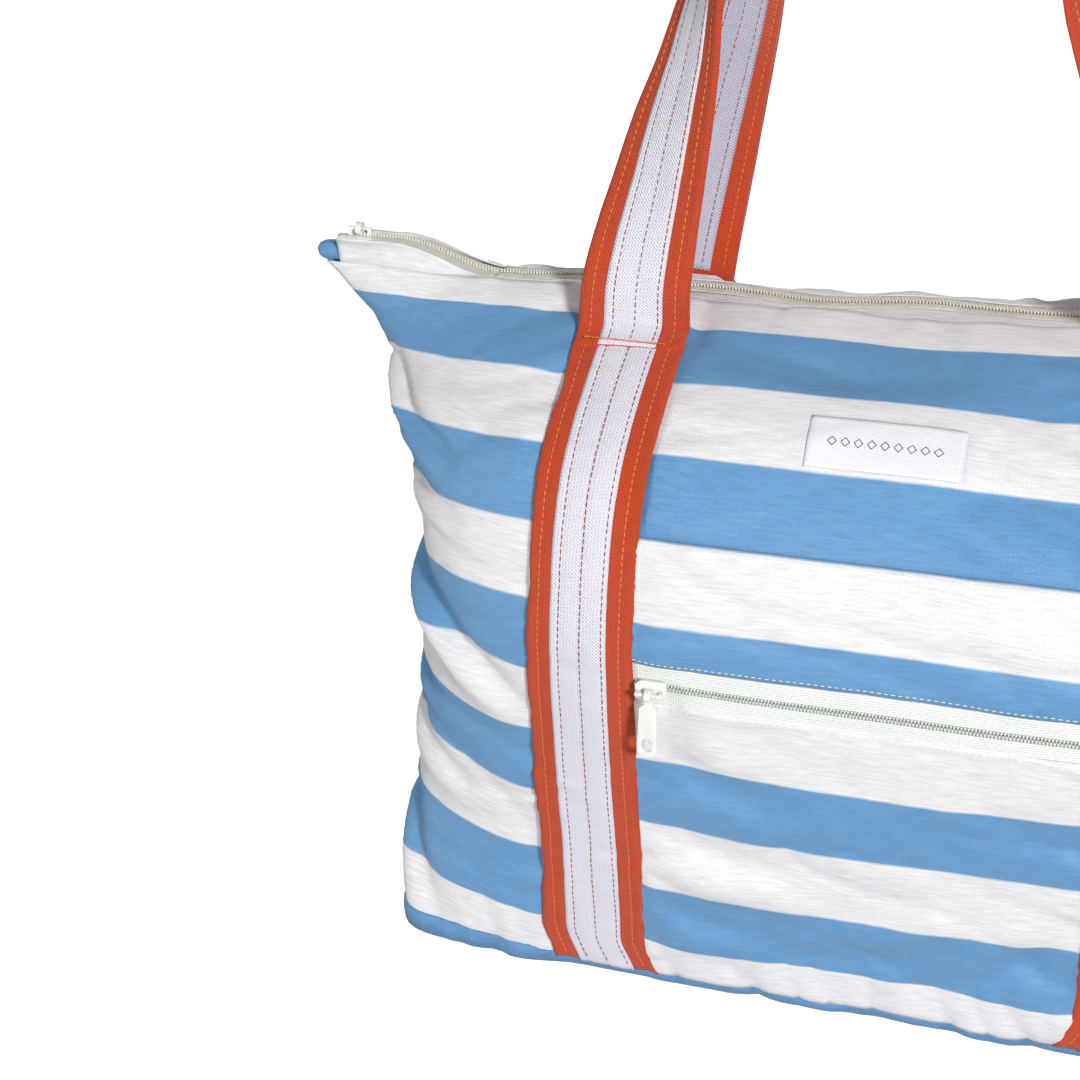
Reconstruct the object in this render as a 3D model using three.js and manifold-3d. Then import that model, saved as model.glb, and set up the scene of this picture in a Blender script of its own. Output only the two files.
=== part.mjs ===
// A stuffed weekender bag: striped cloth body, zip mouth, zip pocket and two sewn shoulder handles.
// Millimetres, +Z up, front towards -Y, origin on the underside of the base at the bag's middle.
import * as THREE from "three";
import Module from "manifold-3d";
import { mergeVertices } from "three/addons/utils/BufferGeometryUtils.js";

const wasm = await Module();
wasm.setup();

// Driving dimensions of the body.
const STRIPE = 37; // height of one printed stripe on the cloth
const BASE_BAND = 24; // cloth between the base seam and the lowest stripe's edge
const TOP_BAND = 20; // cloth between the highest stripe and the mouth
const STRIPE_BANDS = 9; // blue and white bands between those two
const CLOTH_HEIGHT = BASE_BAND + STRIPE_BANDS * STRIPE + TOP_BAND;
const CLOTH_HALF = 300; // side seam to centre line, along the cloth
const LEAN = [8, 12, 11, 11, 10, 4, -10, -30, -48, -62, -66]; // outward lean of each band, degrees
const BASE_HALF_DEPTH = 91;
const HALF_WIDTH = [236, 238, 238, 237, 235, 232, 231, 236, 247, 261, 282, 295]; // at each band's edge
const SIDE_LIFT = [3, 12, 16, 15, 10, 4, -2, -6, -8, -12, -7, -2]; // side seam's height over the middle's
const PLAN_POWER = 3.2; // roundness of the plan outline of the body
const BASE_POWER = 9; // the same at the base, which has tight corners
const BASE_BLEND = 0.32; // share of the cloth height over which the corners soften
const EAR_POWER = 2.6; // the same at the mouth
const EAR_TAPER = 0.9; // how evenly the mouth narrows to its corners
const EAR_START = 0.72; // share of the cloth height where the outline starts to sharpen
const SEAM_HALF = 3; // half the width of the strip left at the side seams
const SKIN_FOOT = 2; // the panels start this far above the floor

// Cloth layers, as offsets outwards from the panels' outer face.
const PANEL_SKIN = 1.4;
const GAP = 0.4;
const LINING_OUT = -2.0;
const LINING_IN = -3.0;
const LINING_FOOT = 8;
const POCKET_LAYER = [1.4, 2.6];
const STRAP_LAYER = [3.0, 4.6];
const BAND_LAYER = [5.0, 5.8];

// Straps and handles.
const STRAP_OFFSET = 128.5; // strap centre lines from the middle
const STRAP_WIDTH = 50;
const BAND_WIDTH = 26;
const STRAP_TOP = 341; // cloth height of the bar stitch where the handle leaves the strap
const HANDLE_RISE = 264; // from the bar stitch to the top of the arch
const HANDLE_SKIN = 3.0;
const HANDLE_APEX_Y = 31; // the arches' centre lines stay this far from the middle plane
const HANDLE_LEAN_IN = 66; // how far the legs come together below the bend
const HANDLE_SWAY = 0.13; // how far the arches lean over to the left for each millimetre of rise
const SWAY_START = 22; // rise over the foot below which they stand straight
const TWIST_START = 0.05; // share of the arch where its webbing starts to turn edge on
const TWIST_END = 0.45; // and where it has turned
const FOOT_GAP = 7; // cloth between the bar stitch and the arch's foot
const FOOT_OFFSET = 4.8; // the foot's middle surface over the panel

// Main zip.
const MOUTH_HALF = 18;
const ZIP_LEVEL = 322;
const ZIP_HALF = 205; // half of the stretch that parts
const ZIP_END = 284;
const TAPE_HALF = 10.5; // from the middle plane to the outer edge of the parting tapes
const TAPE_SKIN = 0.8;
const COIL_WIDTH = 1.7;
const COIL_HEIGHT = 1.7;
const CHAIN_GAP = 0.5; // from the middle plane to each coil
const SLIDER_X = 278; // where the slider parks, from the middle
const EAR_RISE = 12.5; // the zip's ends over its middle

// Front pocket.
const POCKET_HALF = 104;
const POCKET_HEM = 246;
const POCKET_FOOT = 4;
const POCKET_ZIP = 178.5; // cloth height of the chain
const POCKET_FOLD = 189; // lower edge of the pocket's upper panel
const POCKET_LOWER_EDGE = 169.5;
const POCKET_SLIDER_X = 93;

// Sliders and pulls.
const SLIDER = { length: 14, width: 10.5, plate: 2.2, bridge: 3.4, wire: 2.0, leg: 5.2 };
const PULL = { width: 9, length: 30, skin: 1.6, eye: 3.2, hole: 1.9, slotWidth: 5.6, slotHeight: 7 };
const MAIN_PULL_DROP = 22; // degrees below level at which the main pull lies back

const COLOUR = {
  blue: 0x6ca0cd,
  white: 0xf2f0f0,
  rust: 0xc84b2d,
  band: 0xe4e4f0,
  cream: 0xe1decd,
  enamel: 0xf4f5ef,
  lining: 0xe9e6e2,
  board: 0x8c7b66,
};

const radians = THREE.MathUtils.degToRad;

// Smooth value at x of a table with rising positions.
function tableAt(positions, values, x) {
  const last = positions.length - 1;
  let i = 0;
  while (i < last - 1 && x > positions[i + 1]) i += 1;
  const slope = (k) => {
    const a = Math.max(k - 1, 0);
    const b = Math.min(k + 1, last);
    return (values[b] - values[a]) / (positions[b] - positions[a]);
  };
  const span = positions[i + 1] - positions[i];
  const f = (x - positions[i]) / span;
  const rise = values[i + 1] - values[i];
  const start = slope(i) * span;
  const end = slope(i + 1) * span;
  return values[i] + f * (start + f * (3 * rise - 2 * start - end + f * (start + end - 2 * rise)));
}

// Cloth heights of the band edges, and the middle's profile there.
const EDGE_T = [0, BASE_BAND];
for (let i = 1; i <= STRIPE_BANDS; i += 1) EDGE_T.push(BASE_BAND + i * STRIPE);
EDGE_T.push(CLOTH_HEIGHT);
const EDGE_Z = [SKIN_FOOT];
const EDGE_DEPTH = [BASE_HALF_DEPTH];
LEAN.forEach((lean, i) => {
  const band = EDGE_T[i + 1] - EDGE_T[i];
  EDGE_Z.push(EDGE_Z[i] + band * Math.cos(radians(lean)));
  EDGE_DEPTH.push(EDGE_DEPTH[i] + band * Math.sin(radians(lean)));
});

// The plan outline at a cloth height: its half width, half depth and the two powers of its shape.
function outlineAt(t) {
  const { smoothstep, lerp } = THREE.MathUtils;
  const ear = smoothstep(t / CLOTH_HEIGHT, EAR_START, 1);
  const rise = smoothstep(t / CLOTH_HEIGHT, -BASE_BLEND, BASE_BLEND) * 2 - 1;
  const body = lerp(BASE_POWER, PLAN_POWER, Math.sqrt(rise));
  return {
    halfWidth: tableAt(EDGE_T, HALF_WIDTH, t),
    halfDepth: tableAt(EDGE_T, EDGE_DEPTH, t),
    power: lerp(body, EAR_POWER, ear),
    taper: lerp(1 / body, EAR_TAPER, ear),
  };
}

// Depth of the outline at a share q of its half width.
function depthAt(outline, q) {
  const fall = Math.pow(Math.max(1 - Math.pow(Math.abs(q), outline.power), 0), outline.taper);
  return SEAM_HALF + (outline.halfDepth - SEAM_HALF) * fall;
}

// Share of the half width at a distance s along the cloth from the middle. The cloth keeps its length
// across the faces, and what is left over is taken up round the sides.
function widthShare(outline, s) {
  const STEPS = 60;
  const FACE_HALF = 165;
  const xs = [0];
  const lengths = [0];
  let y = depthAt(outline, 0);
  for (let i = 1; i <= STEPS; i += 1) {
    const q = Math.sin((i / STEPS) * (Math.PI / 2));
    const next = depthAt(outline, q);
    lengths.push(lengths[i - 1] + Math.hypot((q - xs[i - 1]) * outline.halfWidth, next - y));
    xs.push(q);
    y = next;
  }
  const side = Math.max(Math.abs(s) - FACE_HALF, 0) / (CLOTH_HALF - FACE_HALF);
  const target = Math.abs(s) + (lengths[STEPS] - CLOTH_HALF) * side;
  let i = 0;
  while (i < STEPS - 1 && lengths[i + 1] < target) i += 1;
  const f = Math.min((target - lengths[i]) / (lengths[i + 1] - lengths[i]), 1);
  return Math.sign(s) * (xs[i] + f * (xs[i + 1] - xs[i]));
}

// A point of the body's outer face; side is -1 for the front and 1 for the back.
function facePoint(side, s, t) {
  const outline = outlineAt(t);
  const q = widthShare(outline, s);
  const lift = tableAt(EDGE_T, SIDE_LIFT, t) * Math.pow(Math.abs(q), 3);
  return new THREE.Vector3(
    q * outline.halfWidth,
    side * depthAt(outline, q),
    tableAt(EDGE_T, EDGE_Z, t) + lift,
  );
}

// The body's outward normal there.
function faceNormal(side, s, t) {
  const STEP = 1;
  const sLow = Math.max(s - STEP, -CLOTH_HALF);
  const sHigh = Math.min(s + STEP, CLOTH_HALF);
  const tLow = Math.max(t - STEP, 0);
  const tHigh = Math.min(t + STEP, CLOTH_HEIGHT);
  const across = facePoint(side, sHigh, t).sub(facePoint(side, sLow, t));
  const up = facePoint(side, s, tHigh).sub(facePoint(side, s, tLow));
  return new THREE.Vector3().crossVectors(across, up).normalize().multiplyScalar(-side);
}

// Lines that every cloth layer shares, so that layers keep their distance from each other.
const COLUMNS = 28;
const S_LINES = Array.from({ length: COLUMNS + 1 }, (_, i) => CLOTH_HALF * ((2 * i) / COLUMNS - 1));
const SHOULDER = 5; // bands below the shoulder have no line at their middle
const T_LINES = [];
EDGE_T.forEach((t, i) => {
  T_LINES.push(t);
  if (i === 0) T_LINES.push(LINING_FOOT);
  if (i > SHOULDER && i < EDGE_T.length - 1) T_LINES.push((t + EDGE_T[i + 1]) / 2);
});
const NET = {};
[-1, 1].forEach((side) => {
  NET[side] = T_LINES.map((t) =>
    S_LINES.map((s) => ({ point: facePoint(side, s, t), normal: faceNormal(side, s, t) })),
  );
});

// The cell of a rising list that holds x, and the share of the way through it.
function cellOf(lines, x) {
  let i = 0;
  while (i < lines.length - 2 && x > lines[i + 1]) i += 1;
  return [i, (x - lines[i]) / (lines[i + 1] - lines[i])];
}

// A point of the faceted body moved outwards by an offset.
function skinPoint(side, s, t, offset) {
  const [j, fs] = cellOf(S_LINES, s);
  const [i, ft] = cellOf(T_LINES, t);
  const at = (row, column) => {
    const { point, normal } = NET[side][row][column];
    return point.clone().addScaledVector(normal, offset);
  };
  const low = at(i, j).lerp(at(i, j + 1), fs);
  return low.lerp(at(i + 1, j).lerp(at(i + 1, j + 1), fs), ft);
}

// The ends of a span with the shared lines between them.
function linesWithin(lines, low, high) {
  const NEAR = 1;
  return [low, ...lines.filter((x) => x > low + NEAR && x < high - NEAR), high];
}

// A closed solid between two grids of points, rows[i][j], that share their outline.
function closedSheet(outer, inner) {
  const rows = outer.length;
  const columns = outer[0].length;
  const positions = [];
  [outer, inner].forEach((grid) => grid.forEach((row) => row.forEach((p) => positions.push(p.x, p.y, p.z))));
  const at = (layer, i, j) => layer * rows * columns + i * columns + j;
  const index = [];
  const quad = (a, b, c, d) => index.push(a, b, c, a, c, d);
  for (let i = 0; i < rows - 1; i += 1) {
    for (let j = 0; j < columns - 1; j += 1) {
      quad(at(0, i, j), at(0, i, j + 1), at(0, i + 1, j + 1), at(0, i + 1, j));
      quad(at(1, i, j), at(1, i + 1, j), at(1, i + 1, j + 1), at(1, i, j + 1));
    }
  }
  for (let j = 0; j < columns - 1; j += 1) {
    quad(at(0, 0, j), at(1, 0, j), at(1, 0, j + 1), at(0, 0, j + 1));
    quad(at(0, rows - 1, j), at(0, rows - 1, j + 1), at(1, rows - 1, j + 1), at(1, rows - 1, j));
  }
  for (let i = 0; i < rows - 1; i += 1) {
    quad(at(0, i, 0), at(0, i + 1, 0), at(1, i + 1, 0), at(1, i, 0));
    quad(at(0, i, columns - 1), at(1, i, columns - 1), at(1, i + 1, columns - 1), at(0, i + 1, columns - 1));
  }
  const geometry = new THREE.BufferGeometry();
  geometry.setAttribute("position", new THREE.Float32BufferAttribute(positions, 3));
  geometry.setIndex(index);
  return geometry;
}

// A layer of cloth on the body: a patch of it between two offsets.
function clothSheet(side, [s0, s1], [t0, t1], [low, high]) {
  const columns = linesWithin(S_LINES, s0, s1);
  if (side > 0) columns.reverse();
  const rows = linesWithin(T_LINES, t0, t1);
  const grid = (offset) => rows.map((t) => columns.map((s) => skinPoint(side, s, t, offset)));
  return closedSheet(grid(high), grid(low));
}

// A flat plate from a plan outline, between two heights.
function plate(points, low, high) {
  const geometry = new THREE.ExtrudeGeometry(new THREE.Shape(points), {
    depth: high - low,
    bevelEnabled: false,
    steps: 1,
  });
  return geometry.translate(0, 0, low);
}

function box(x0, x1, y0, y1, z0, z1) {
  const geometry = new THREE.BoxGeometry(x1 - x0, y1 - y0, z1 - z0);
  return geometry.translate((x0 + x1) / 2, (y0 + y1) / 2, (z0 + z1) / 2);
}

// The base's plan outline, drawn in by an inset.
function baseOutline(inset) {
  const POINTS = 48;
  const outline = outlineAt(0);
  const round = 2 / outline.power;
  const points = [];
  for (let i = 0; i < POINTS; i += 1) {
    const angle = (i / POINTS) * 2 * Math.PI;
    const c = Math.cos(angle);
    const s = Math.sin(angle);
    points.push(
      new THREE.Vector2(
        Math.sign(c) * Math.pow(Math.abs(c), round) * (outline.halfWidth - inset),
        Math.sign(s) * Math.pow(Math.abs(s), round) * (outline.halfDepth - inset),
      ),
    );
  }
  return points;
}

function solidOf(geometry) {
  const bare = geometry.clone();
  bare.deleteAttribute("normal");
  bare.deleteAttribute("uv");
  const merged = mergeVertices(bare, 1e-4);
  return new wasm.Manifold(
    new wasm.Mesh({
      numProp: 3,
      vertProperties: new Float32Array(merged.attributes.position.array),
      triVerts: new Uint32Array(merged.index.array),
    }),
  );
}

function geometryOf(solid) {
  const mesh = solid.getMesh();
  const geometry = new THREE.BufferGeometry();
  geometry.setAttribute("position", new THREE.BufferAttribute(mesh.vertProperties, 3));
  geometry.setIndex(new THREE.BufferAttribute(mesh.triVerts, 1));
  return geometry;
}

const bag = new THREE.Group();

function addPiece(name, geometry, colour, { roughness = 0.9, metalness = 0, parent = bag } = {}) {
  geometry.deleteAttribute("uv");
  const material = new THREE.MeshStandardMaterial({ color: colour, roughness, metalness });
  const mesh = new THREE.Mesh(geometry, material);
  mesh.name = name;
  parent.add(mesh);
  return mesh;
}

// Body: two striped panels, their linings and facings, joined by a strip at each side.
function buildBody() {
  const LINING_STOP = S_LINES[COLUMNS - 1];
  const LINING_HEAD = CLOTH_HEIGHT - TOP_BAND - STRIPE / 2;
  const FACING_HALF = S_LINES[COLUMNS - 2];
  const sides = [["front", -1], ["back", 1]];
  sides.forEach(([name, side]) => {
    const panel = clothSheet(side, [-CLOTH_HALF, CLOTH_HALF], [0, CLOTH_HEIGHT], [-PANEL_SKIN, 0]);
    addPiece(name + "_panel", panel, COLOUR.blue);
    const lining = clothSheet(
      side,
      [-LINING_STOP, LINING_STOP],
      [LINING_FOOT, LINING_HEAD],
      [LINING_IN, LINING_OUT],
    );
    addPiece("lining_" + name, lining, COLOUR.lining);
    const facing = clothSheet(
      side,
      [-FACING_HALF, FACING_HALF],
      [LINING_HEAD + 1.5, CLOTH_HEIGHT - 2],
      [LINING_IN, LINING_OUT],
    );
    addPiece("top_facing_" + name, facing, COLOUR.white);
  });
  addPiece("inner_pocket", clothSheet(1, [-95, 95], [150, 270], [-5.2, -4.4]), COLOUR.lining);
}

// The strip that closes each side seam, from the base to the mouth.
function buildSideSeams() {
  const HALF = 1.2;
  const HEAD_ROW = T_LINES.length - 1;
  [["left", -1, 0], ["right", 1, COLUMNS]].forEach(([name, hand, column]) => {
    const line = (inset) =>
      NET[-1].slice(0, HEAD_ROW).map((row) => {
        const { x, z } = row[column].point;
        return [-HALF, HALF].map((y) => new THREE.Vector3(x - hand * inset, hand * y, z));
      });
    addPiece("side_seam_" + name, closedSheet(line(0), line(PANEL_SKIN)), COLOUR.white);
  });
}

function buildBase() {
  addPiece("base_panel", plate(baseOutline(0), 0, SKIN_FOOT - GAP), COLOUR.blue);
  addPiece("base_board", plate(baseOutline(9), SKIN_FOOT, SKIN_FOOT + 2.6), COLOUR.board);
  addPiece("lining_base", plate(baseOutline(9), SKIN_FOOT + 3, SKIN_FOOT + 3.8), COLOUR.lining);
}

// Straps sewn on the panels, with their white bands.
function buildStraps() {
  [["front", -1], ["back", 1]].forEach(([face, side]) => {
    [["left", -1], ["right", 1]].forEach(([name, hand]) => {
      const centre = hand * STRAP_OFFSET;
      const strip = (width, layer, short = 0) => {
        const across = [centre - width / 2, centre + width / 2];
        return clothSheet(side, across, [POCKET_FOOT, STRAP_TOP - short], layer);
      };
      addPiece(`strap_${face}_${name}`, strip(STRAP_WIDTH, STRAP_LAYER), COLOUR.rust);
      addPiece(`strap_band_${face}_${name}`, strip(BAND_WIDTH, BAND_LAYER, 9), COLOUR.band);
    });
  });
}

// The arch's centre line and the direction of its width, from the left foot (0) to the right foot (1).
function archFrames(side, steps) {
  const foot = skinPoint(side, STRAP_OFFSET, STRAP_TOP + FOOT_GAP, FOOT_OFFSET);
  const top = foot.z + HANDLE_RISE;
  const footY = Math.abs(foot.y);
  const bend = foot.x - HANDLE_LEAN_IN;
  const legs = [
    [foot.x, footY, foot.z],
    [foot.x - 2, footY + 3, foot.z + SWAY_START],
    [foot.x - 20, footY - 5, foot.z + 75],
    [foot.x - 45, footY - 13, foot.z + 140],
    [bend, HANDLE_APEX_Y + 3, foot.z + 205],
    [bend * 0.62, HANDLE_APEX_Y, top - 16],
    [0, HANDLE_APEX_Y, top],
  ];
  const swayed = (hand) => ([x, y, z]) =>
    new THREE.Vector3(hand * x - HANDLE_SWAY * Math.max(z - foot.z - SWAY_START, 0), side * y, z);
  const points = [...legs.map(swayed(-1)), ...legs.slice(0, -1).reverse().map(swayed(1))];
  const curve = new THREE.CatmullRomCurve3(points, false, "centripetal");
  const frames = [];
  for (let i = 0; i <= steps; i += 1) {
    const u = i / steps;
    const centre = curve.getPointAt(u);
    const along = curve.getTangentAt(u);
    const share = (Math.min(u, 1 - u) - TWIST_START) / (TWIST_END - TWIST_START);
    const turn = THREE.MathUtils.clamp(share, 0, 1) * (Math.PI / 2);
    const angle = u < 0.5 ? turn : Math.PI - turn;
    const wide = new THREE.Vector3(Math.cos(angle), side * Math.sin(angle), 0);
    wide.addScaledVector(along, -wide.dot(along)).normalize();
    const normal = new THREE.Vector3().crossVectors(wide, along).multiplyScalar(-side);
    frames.push({ centre, wide, normal });
  }
  return frames;
}

// A ribbon along the arch: lines across its width, between two offsets from its middle surface.
function archRibbon(side, frames, lines, [low, high]) {
  const grid = (offset) =>
    frames.map(({ centre, wide, normal }) =>
      lines.map((w) => centre.clone().addScaledVector(wide, -side * w).addScaledVector(normal, offset)),
    );
  return closedSheet(grid(high), grid(low));
}

function buildHandles() {
  const STEPS = 36;
  const HALF = HANDLE_SKIN / 2;
  const BAND_LINES = [-BAND_WIDTH / 2, BAND_WIDTH / 2];
  const RIBBON_LINES = [-STRAP_WIDTH / 2, ...BAND_LINES, STRAP_WIDTH / 2];
  [["front", -1], ["back", 1]].forEach(([name, side]) => {
    const frames = archFrames(side, STEPS);
    addPiece("handle_" + name, archRibbon(side, frames, RIBBON_LINES, [-HALF, HALF]), COLOUR.rust);
    const bandLayers = [["", [HALF + GAP, HALF + 1.2], 1], ["inner_", [-HALF - 1.2, -HALF - GAP], 2]];
    bandLayers.forEach(([layer, offsets, short]) => {
      const band = archRibbon(side, frames.slice(short, frames.length - short), BAND_LINES, offsets);
      addPiece(`handle_${layer}band_${name}`, band, COLOUR.band);
    });
  });
}

// Half the mouth's width at a distance from the middle.
function mouthHalfAt(x) {
  const outline = outlineAt(CLOTH_HEIGHT);
  return Math.min(MOUTH_HALF, depthAt(outline, x / outline.halfWidth));
}

// Main zip: the stretch that parts, with a tape, a coil and a strip of cloth out to the mouth's edge
// on each side.
function buildMainZip() {
  const POINTS = 12;
  const EDGE_GAP = 1.1;
  const PANEL_HALF = 190;
  const spread = (side, near, far) => [Math.min(side * near, side * far), Math.max(side * near, side * far)];
  [["front", -1], ["back", 1]].forEach(([name, side]) => {
    const tapeSpan = spread(side, CHAIN_GAP, TAPE_HALF);
    const tape = box(-ZIP_HALF, ZIP_HALF, ...tapeSpan, ZIP_LEVEL, ZIP_LEVEL + TAPE_SKIN);
    addPiece(`main_zip_tape_${name}`, tape, COLOUR.cream);
    const low = ZIP_LEVEL + TAPE_SKIN + 0.3;
    const coilSpan = spread(side, CHAIN_GAP, CHAIN_GAP + COIL_WIDTH);
    const coil = box(-ZIP_HALF, ZIP_HALF, ...coilSpan, low, low + COIL_HEIGHT);
    addPiece(`main_zip_coil_${name}`, coil, COLOUR.cream, { roughness: 0.5 });
    const inner = side * (TAPE_HALF + 0.6);
    const points = [new THREE.Vector2(-PANEL_HALF, inner), new THREE.Vector2(PANEL_HALF, inner)];
    for (let i = 0; i <= POINTS; i += 1) {
      const x = PANEL_HALF - (2 * PANEL_HALF * i) / POINTS;
      points.push(new THREE.Vector2(x, side * (mouthHalfAt(x) - EDGE_GAP)));
    }
    if (side < 0) points.reverse();
    addPiece(`zip_panel_${name}`, plate(points, ZIP_LEVEL, ZIP_LEVEL + TAPE_SKIN), COLOUR.white);
  });
}

// The zip's closed ends, which rise to the bag's corners, with the stops and the cloth tabs on them.
function buildZipEnds() {
  const STEPS = 6;
  const START = ZIP_HALF + 1;
  const END_GAP = 2.6;
  const STOP_X = SLIDER_X - SLIDER.length / 2 - 2;
  [["left", -1], ["right", 1]].forEach(([name, hand]) => {
    const rows = (lift) => {
      const out = [];
      for (let i = 0; i <= STEPS; i += 1) {
        const f = i / STEPS;
        const x = START + (ZIP_END - START) * f;
        const half = Math.max(mouthHalfAt(x) - END_GAP, 1.6);
        const z = ZIP_LEVEL + EAR_RISE * THREE.MathUtils.smoothstep(f, 0, 0.6) + lift;
        const line = [new THREE.Vector3(hand * x, -half, z), new THREE.Vector3(hand * x, half, z)];
        out.push(hand < 0 ? line : line.reverse());
      }
      return out;
    };
    addPiece(`main_zip_end_${name}`, closedSheet(rows(TAPE_SKIN), rows(0)), COLOUR.cream);
    const stopLow = ZIP_LEVEL + EAR_RISE + TAPE_SKIN + 0.3;
    const stop = box(-1.2, 1.2, -2, 2, stopLow, stopLow + 1.5).translate(hand * STOP_X, 0, 0);
    addPiece(`main_zip_stop_${name}`, stop, COLOUR.enamel, { roughness: 0.4 });
    const tab = tabGeometry().translate(hand * (ZIP_END + 8.6), 0, ZIP_LEVEL + EAR_RISE - 4);
    addPiece(`zip_end_tab_${name}`, tab, COLOUR.blue);
  });
}

// A folded cloth tab with rounded ends, about its own middle.
function tabGeometry() {
  const shape = new THREE.Shape();
  const HALF_LENGTH = 7.5;
  const HALF_HEIGHT = 4.2;
  const CORNER = 3.5;
  shape.moveTo(-HALF_LENGTH + CORNER, -HALF_HEIGHT);
  shape.lineTo(HALF_LENGTH - CORNER, -HALF_HEIGHT);
  shape.absarc(HALF_LENGTH - CORNER, -HALF_HEIGHT + CORNER, CORNER, -Math.PI / 2, 0);
  shape.absarc(HALF_LENGTH - CORNER, HALF_HEIGHT - CORNER, CORNER, 0, Math.PI / 2);
  shape.absarc(-HALF_LENGTH + CORNER, HALF_HEIGHT - CORNER, CORNER, Math.PI / 2, Math.PI);
  shape.absarc(-HALF_LENGTH + CORNER, -HALF_HEIGHT + CORNER, CORNER, Math.PI, 1.5 * Math.PI);
  const WIDTH = 7;
  const geometry = new THREE.ExtrudeGeometry(shape, { depth: WIDTH, bevelEnabled: false, curveSegments: 4 });
  return geometry.translate(0, 0, -WIDTH / 2).rotateX(Math.PI / 2);
}

// A slider about its own middle: +X along the chain, +Z out of the chain, its plate's underside at 0.
function sliderGeometry() {
  const { length, width, plate: skin, bridge, wire, leg } = SLIDER;
  const half = length / 2;
  const outline = [
    [-half, -width * 0.3], [-half + 3, -width / 2], [half - 1, -width / 2], [half, -width * 0.4],
    [half, width * 0.4], [half - 1, width / 2], [-half + 3, width / 2], [-half, width * 0.3],
  ];
  let solid = solidOf(plate(outline.map(([x, y]) => new THREE.Vector2(x, y)), 0, skin));
  const top = skin + bridge;
  const bar = new THREE.CylinderGeometry(wire / 2, wire / 2, 2 * leg + wire, 12).rotateZ(Math.PI / 2);
  solid = solid.add(solidOf(bar.translate(0, 0, top)));
  [-leg, leg].forEach((x) => {
    solid = solid.add(solidOf(box(x - wire / 2, x + wire / 2, -wire / 2, wire / 2, skin / 2, top)));
  });
  return geometryOf(solid);
}

// A pull about its pivot, hanging along -Z, its flat face towards -Y.
function pullGeometry() {
  const { width, length, skin, eye, hole, slotWidth, slotHeight } = PULL;
  const NECK = 3.2;
  const END = 3.6;
  const neckHalf = skin;
  const shape = new THREE.Shape();
  shape.moveTo(-neckHalf, -eye + 1.2);
  shape.lineTo(-neckHalf, -eye - 1);
  shape.lineTo(-width / 2 + 0.5, -eye - NECK);
  shape.lineTo(-width / 2, -length + END);
  shape.absarc(-width / 2 + END, -length + END, END, Math.PI, 1.5 * Math.PI);
  shape.absarc(width / 2 - END, -length + END, END, 1.5 * Math.PI, 2 * Math.PI);
  shape.lineTo(width / 2 - 0.5, -eye - NECK);
  shape.lineTo(neckHalf, -eye - 1);
  shape.lineTo(neckHalf, -eye + 1.2);
  shape.closePath();
  const slot = new THREE.Path();
  slot.absellipse(0, -length + slotHeight / 2 + 2.2, slotWidth / 2, slotHeight / 2, 0, 2 * Math.PI);
  shape.holes.push(slot);
  const flat = new THREE.ExtrudeGeometry(shape, { depth: skin, bevelEnabled: false, curveSegments: 8 });
  flat.translate(0, 0, -skin / 2).rotateX(Math.PI / 2);
  const ringShape = new THREE.Shape();
  ringShape.absarc(0, 0, eye, 0, 2 * Math.PI);
  const bore = new THREE.Path();
  bore.absarc(0, 0, hole, 0, 2 * Math.PI);
  ringShape.holes.push(bore);
  const ring = new THREE.ExtrudeGeometry(ringShape, { depth: 3, bevelEnabled: false, curveSegments: 10 });
  ring.translate(0, 0, -1.5).rotateY(Math.PI / 2);
  return geometryOf(solidOf(flat).add(solidOf(ring)));
}

// Height of a slider's bridge, where its pull turns, over its plate's underside.
const PIVOT_RISE = SLIDER.plate + SLIDER.bridge;

function buildMainSlider() {
  const CLEAR = 0.6;
  const group = new THREE.Group();
  group.position.set(-SLIDER_X, 0, ZIP_LEVEL + EAR_RISE + TAPE_SKIN + CLEAR);
  bag.add(group);
  const finish = { roughness: 0.35, metalness: 0.1, parent: group };
  addPiece("main_slider", sliderGeometry(), COLOUR.enamel, finish);
  const pull = addPiece("main_puller", pullGeometry(), COLOUR.enamel, finish);
  pull.position.z = PIVOT_RISE;
  pull.rotation.x = radians(90 - MAIN_PULL_DROP);
}

// Pocket: two panels over the front, their zip between them and the bag of thin cloth behind.
function buildPocket() {
  const layer = (low, high, offsets, half = POCKET_HALF) =>
    clothSheet(-1, [-half, half], [low, high], offsets);
  addPiece("pocket_bag", layer(24, POCKET_HEM - 6, [GAP, GAP + 0.5], POCKET_HALF - 4), COLOUR.lining);
  addPiece("pocket_panel_upper", layer(POCKET_FOLD, POCKET_HEM, POCKET_LAYER), COLOUR.white);
  addPiece("pocket_panel_lower", layer(POCKET_FOOT, POCKET_LOWER_EDGE, POCKET_LAYER), COLOUR.white);
  const tapeLayer = [POCKET_LAYER[0], POCKET_LAYER[0] + TAPE_SKIN];
  const coilLayer = [POCKET_LAYER[0] + TAPE_SKIN + 0.3, POCKET_LAYER[0] + TAPE_SKIN + 1.4];
  [["upper", 1, POCKET_FOLD], ["lower", -1, POCKET_LOWER_EDGE]].forEach(([name, hand, edge]) => {
    const near = POCKET_ZIP + hand * CHAIN_GAP;
    const far = edge - hand * 0.5;
    const tape = layer(Math.min(near, far), Math.max(near, far), tapeLayer);
    addPiece("pocket_zip_tape_" + name, tape, COLOUR.enamel);
    const end = near + hand * COIL_WIDTH;
    const coil = layer(Math.min(near, end), Math.max(near, end), coilLayer, POCKET_HALF - 2);
    addPiece("pocket_zip_coil_" + name, coil, COLOUR.enamel, { roughness: 0.5 });
  });
}

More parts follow.
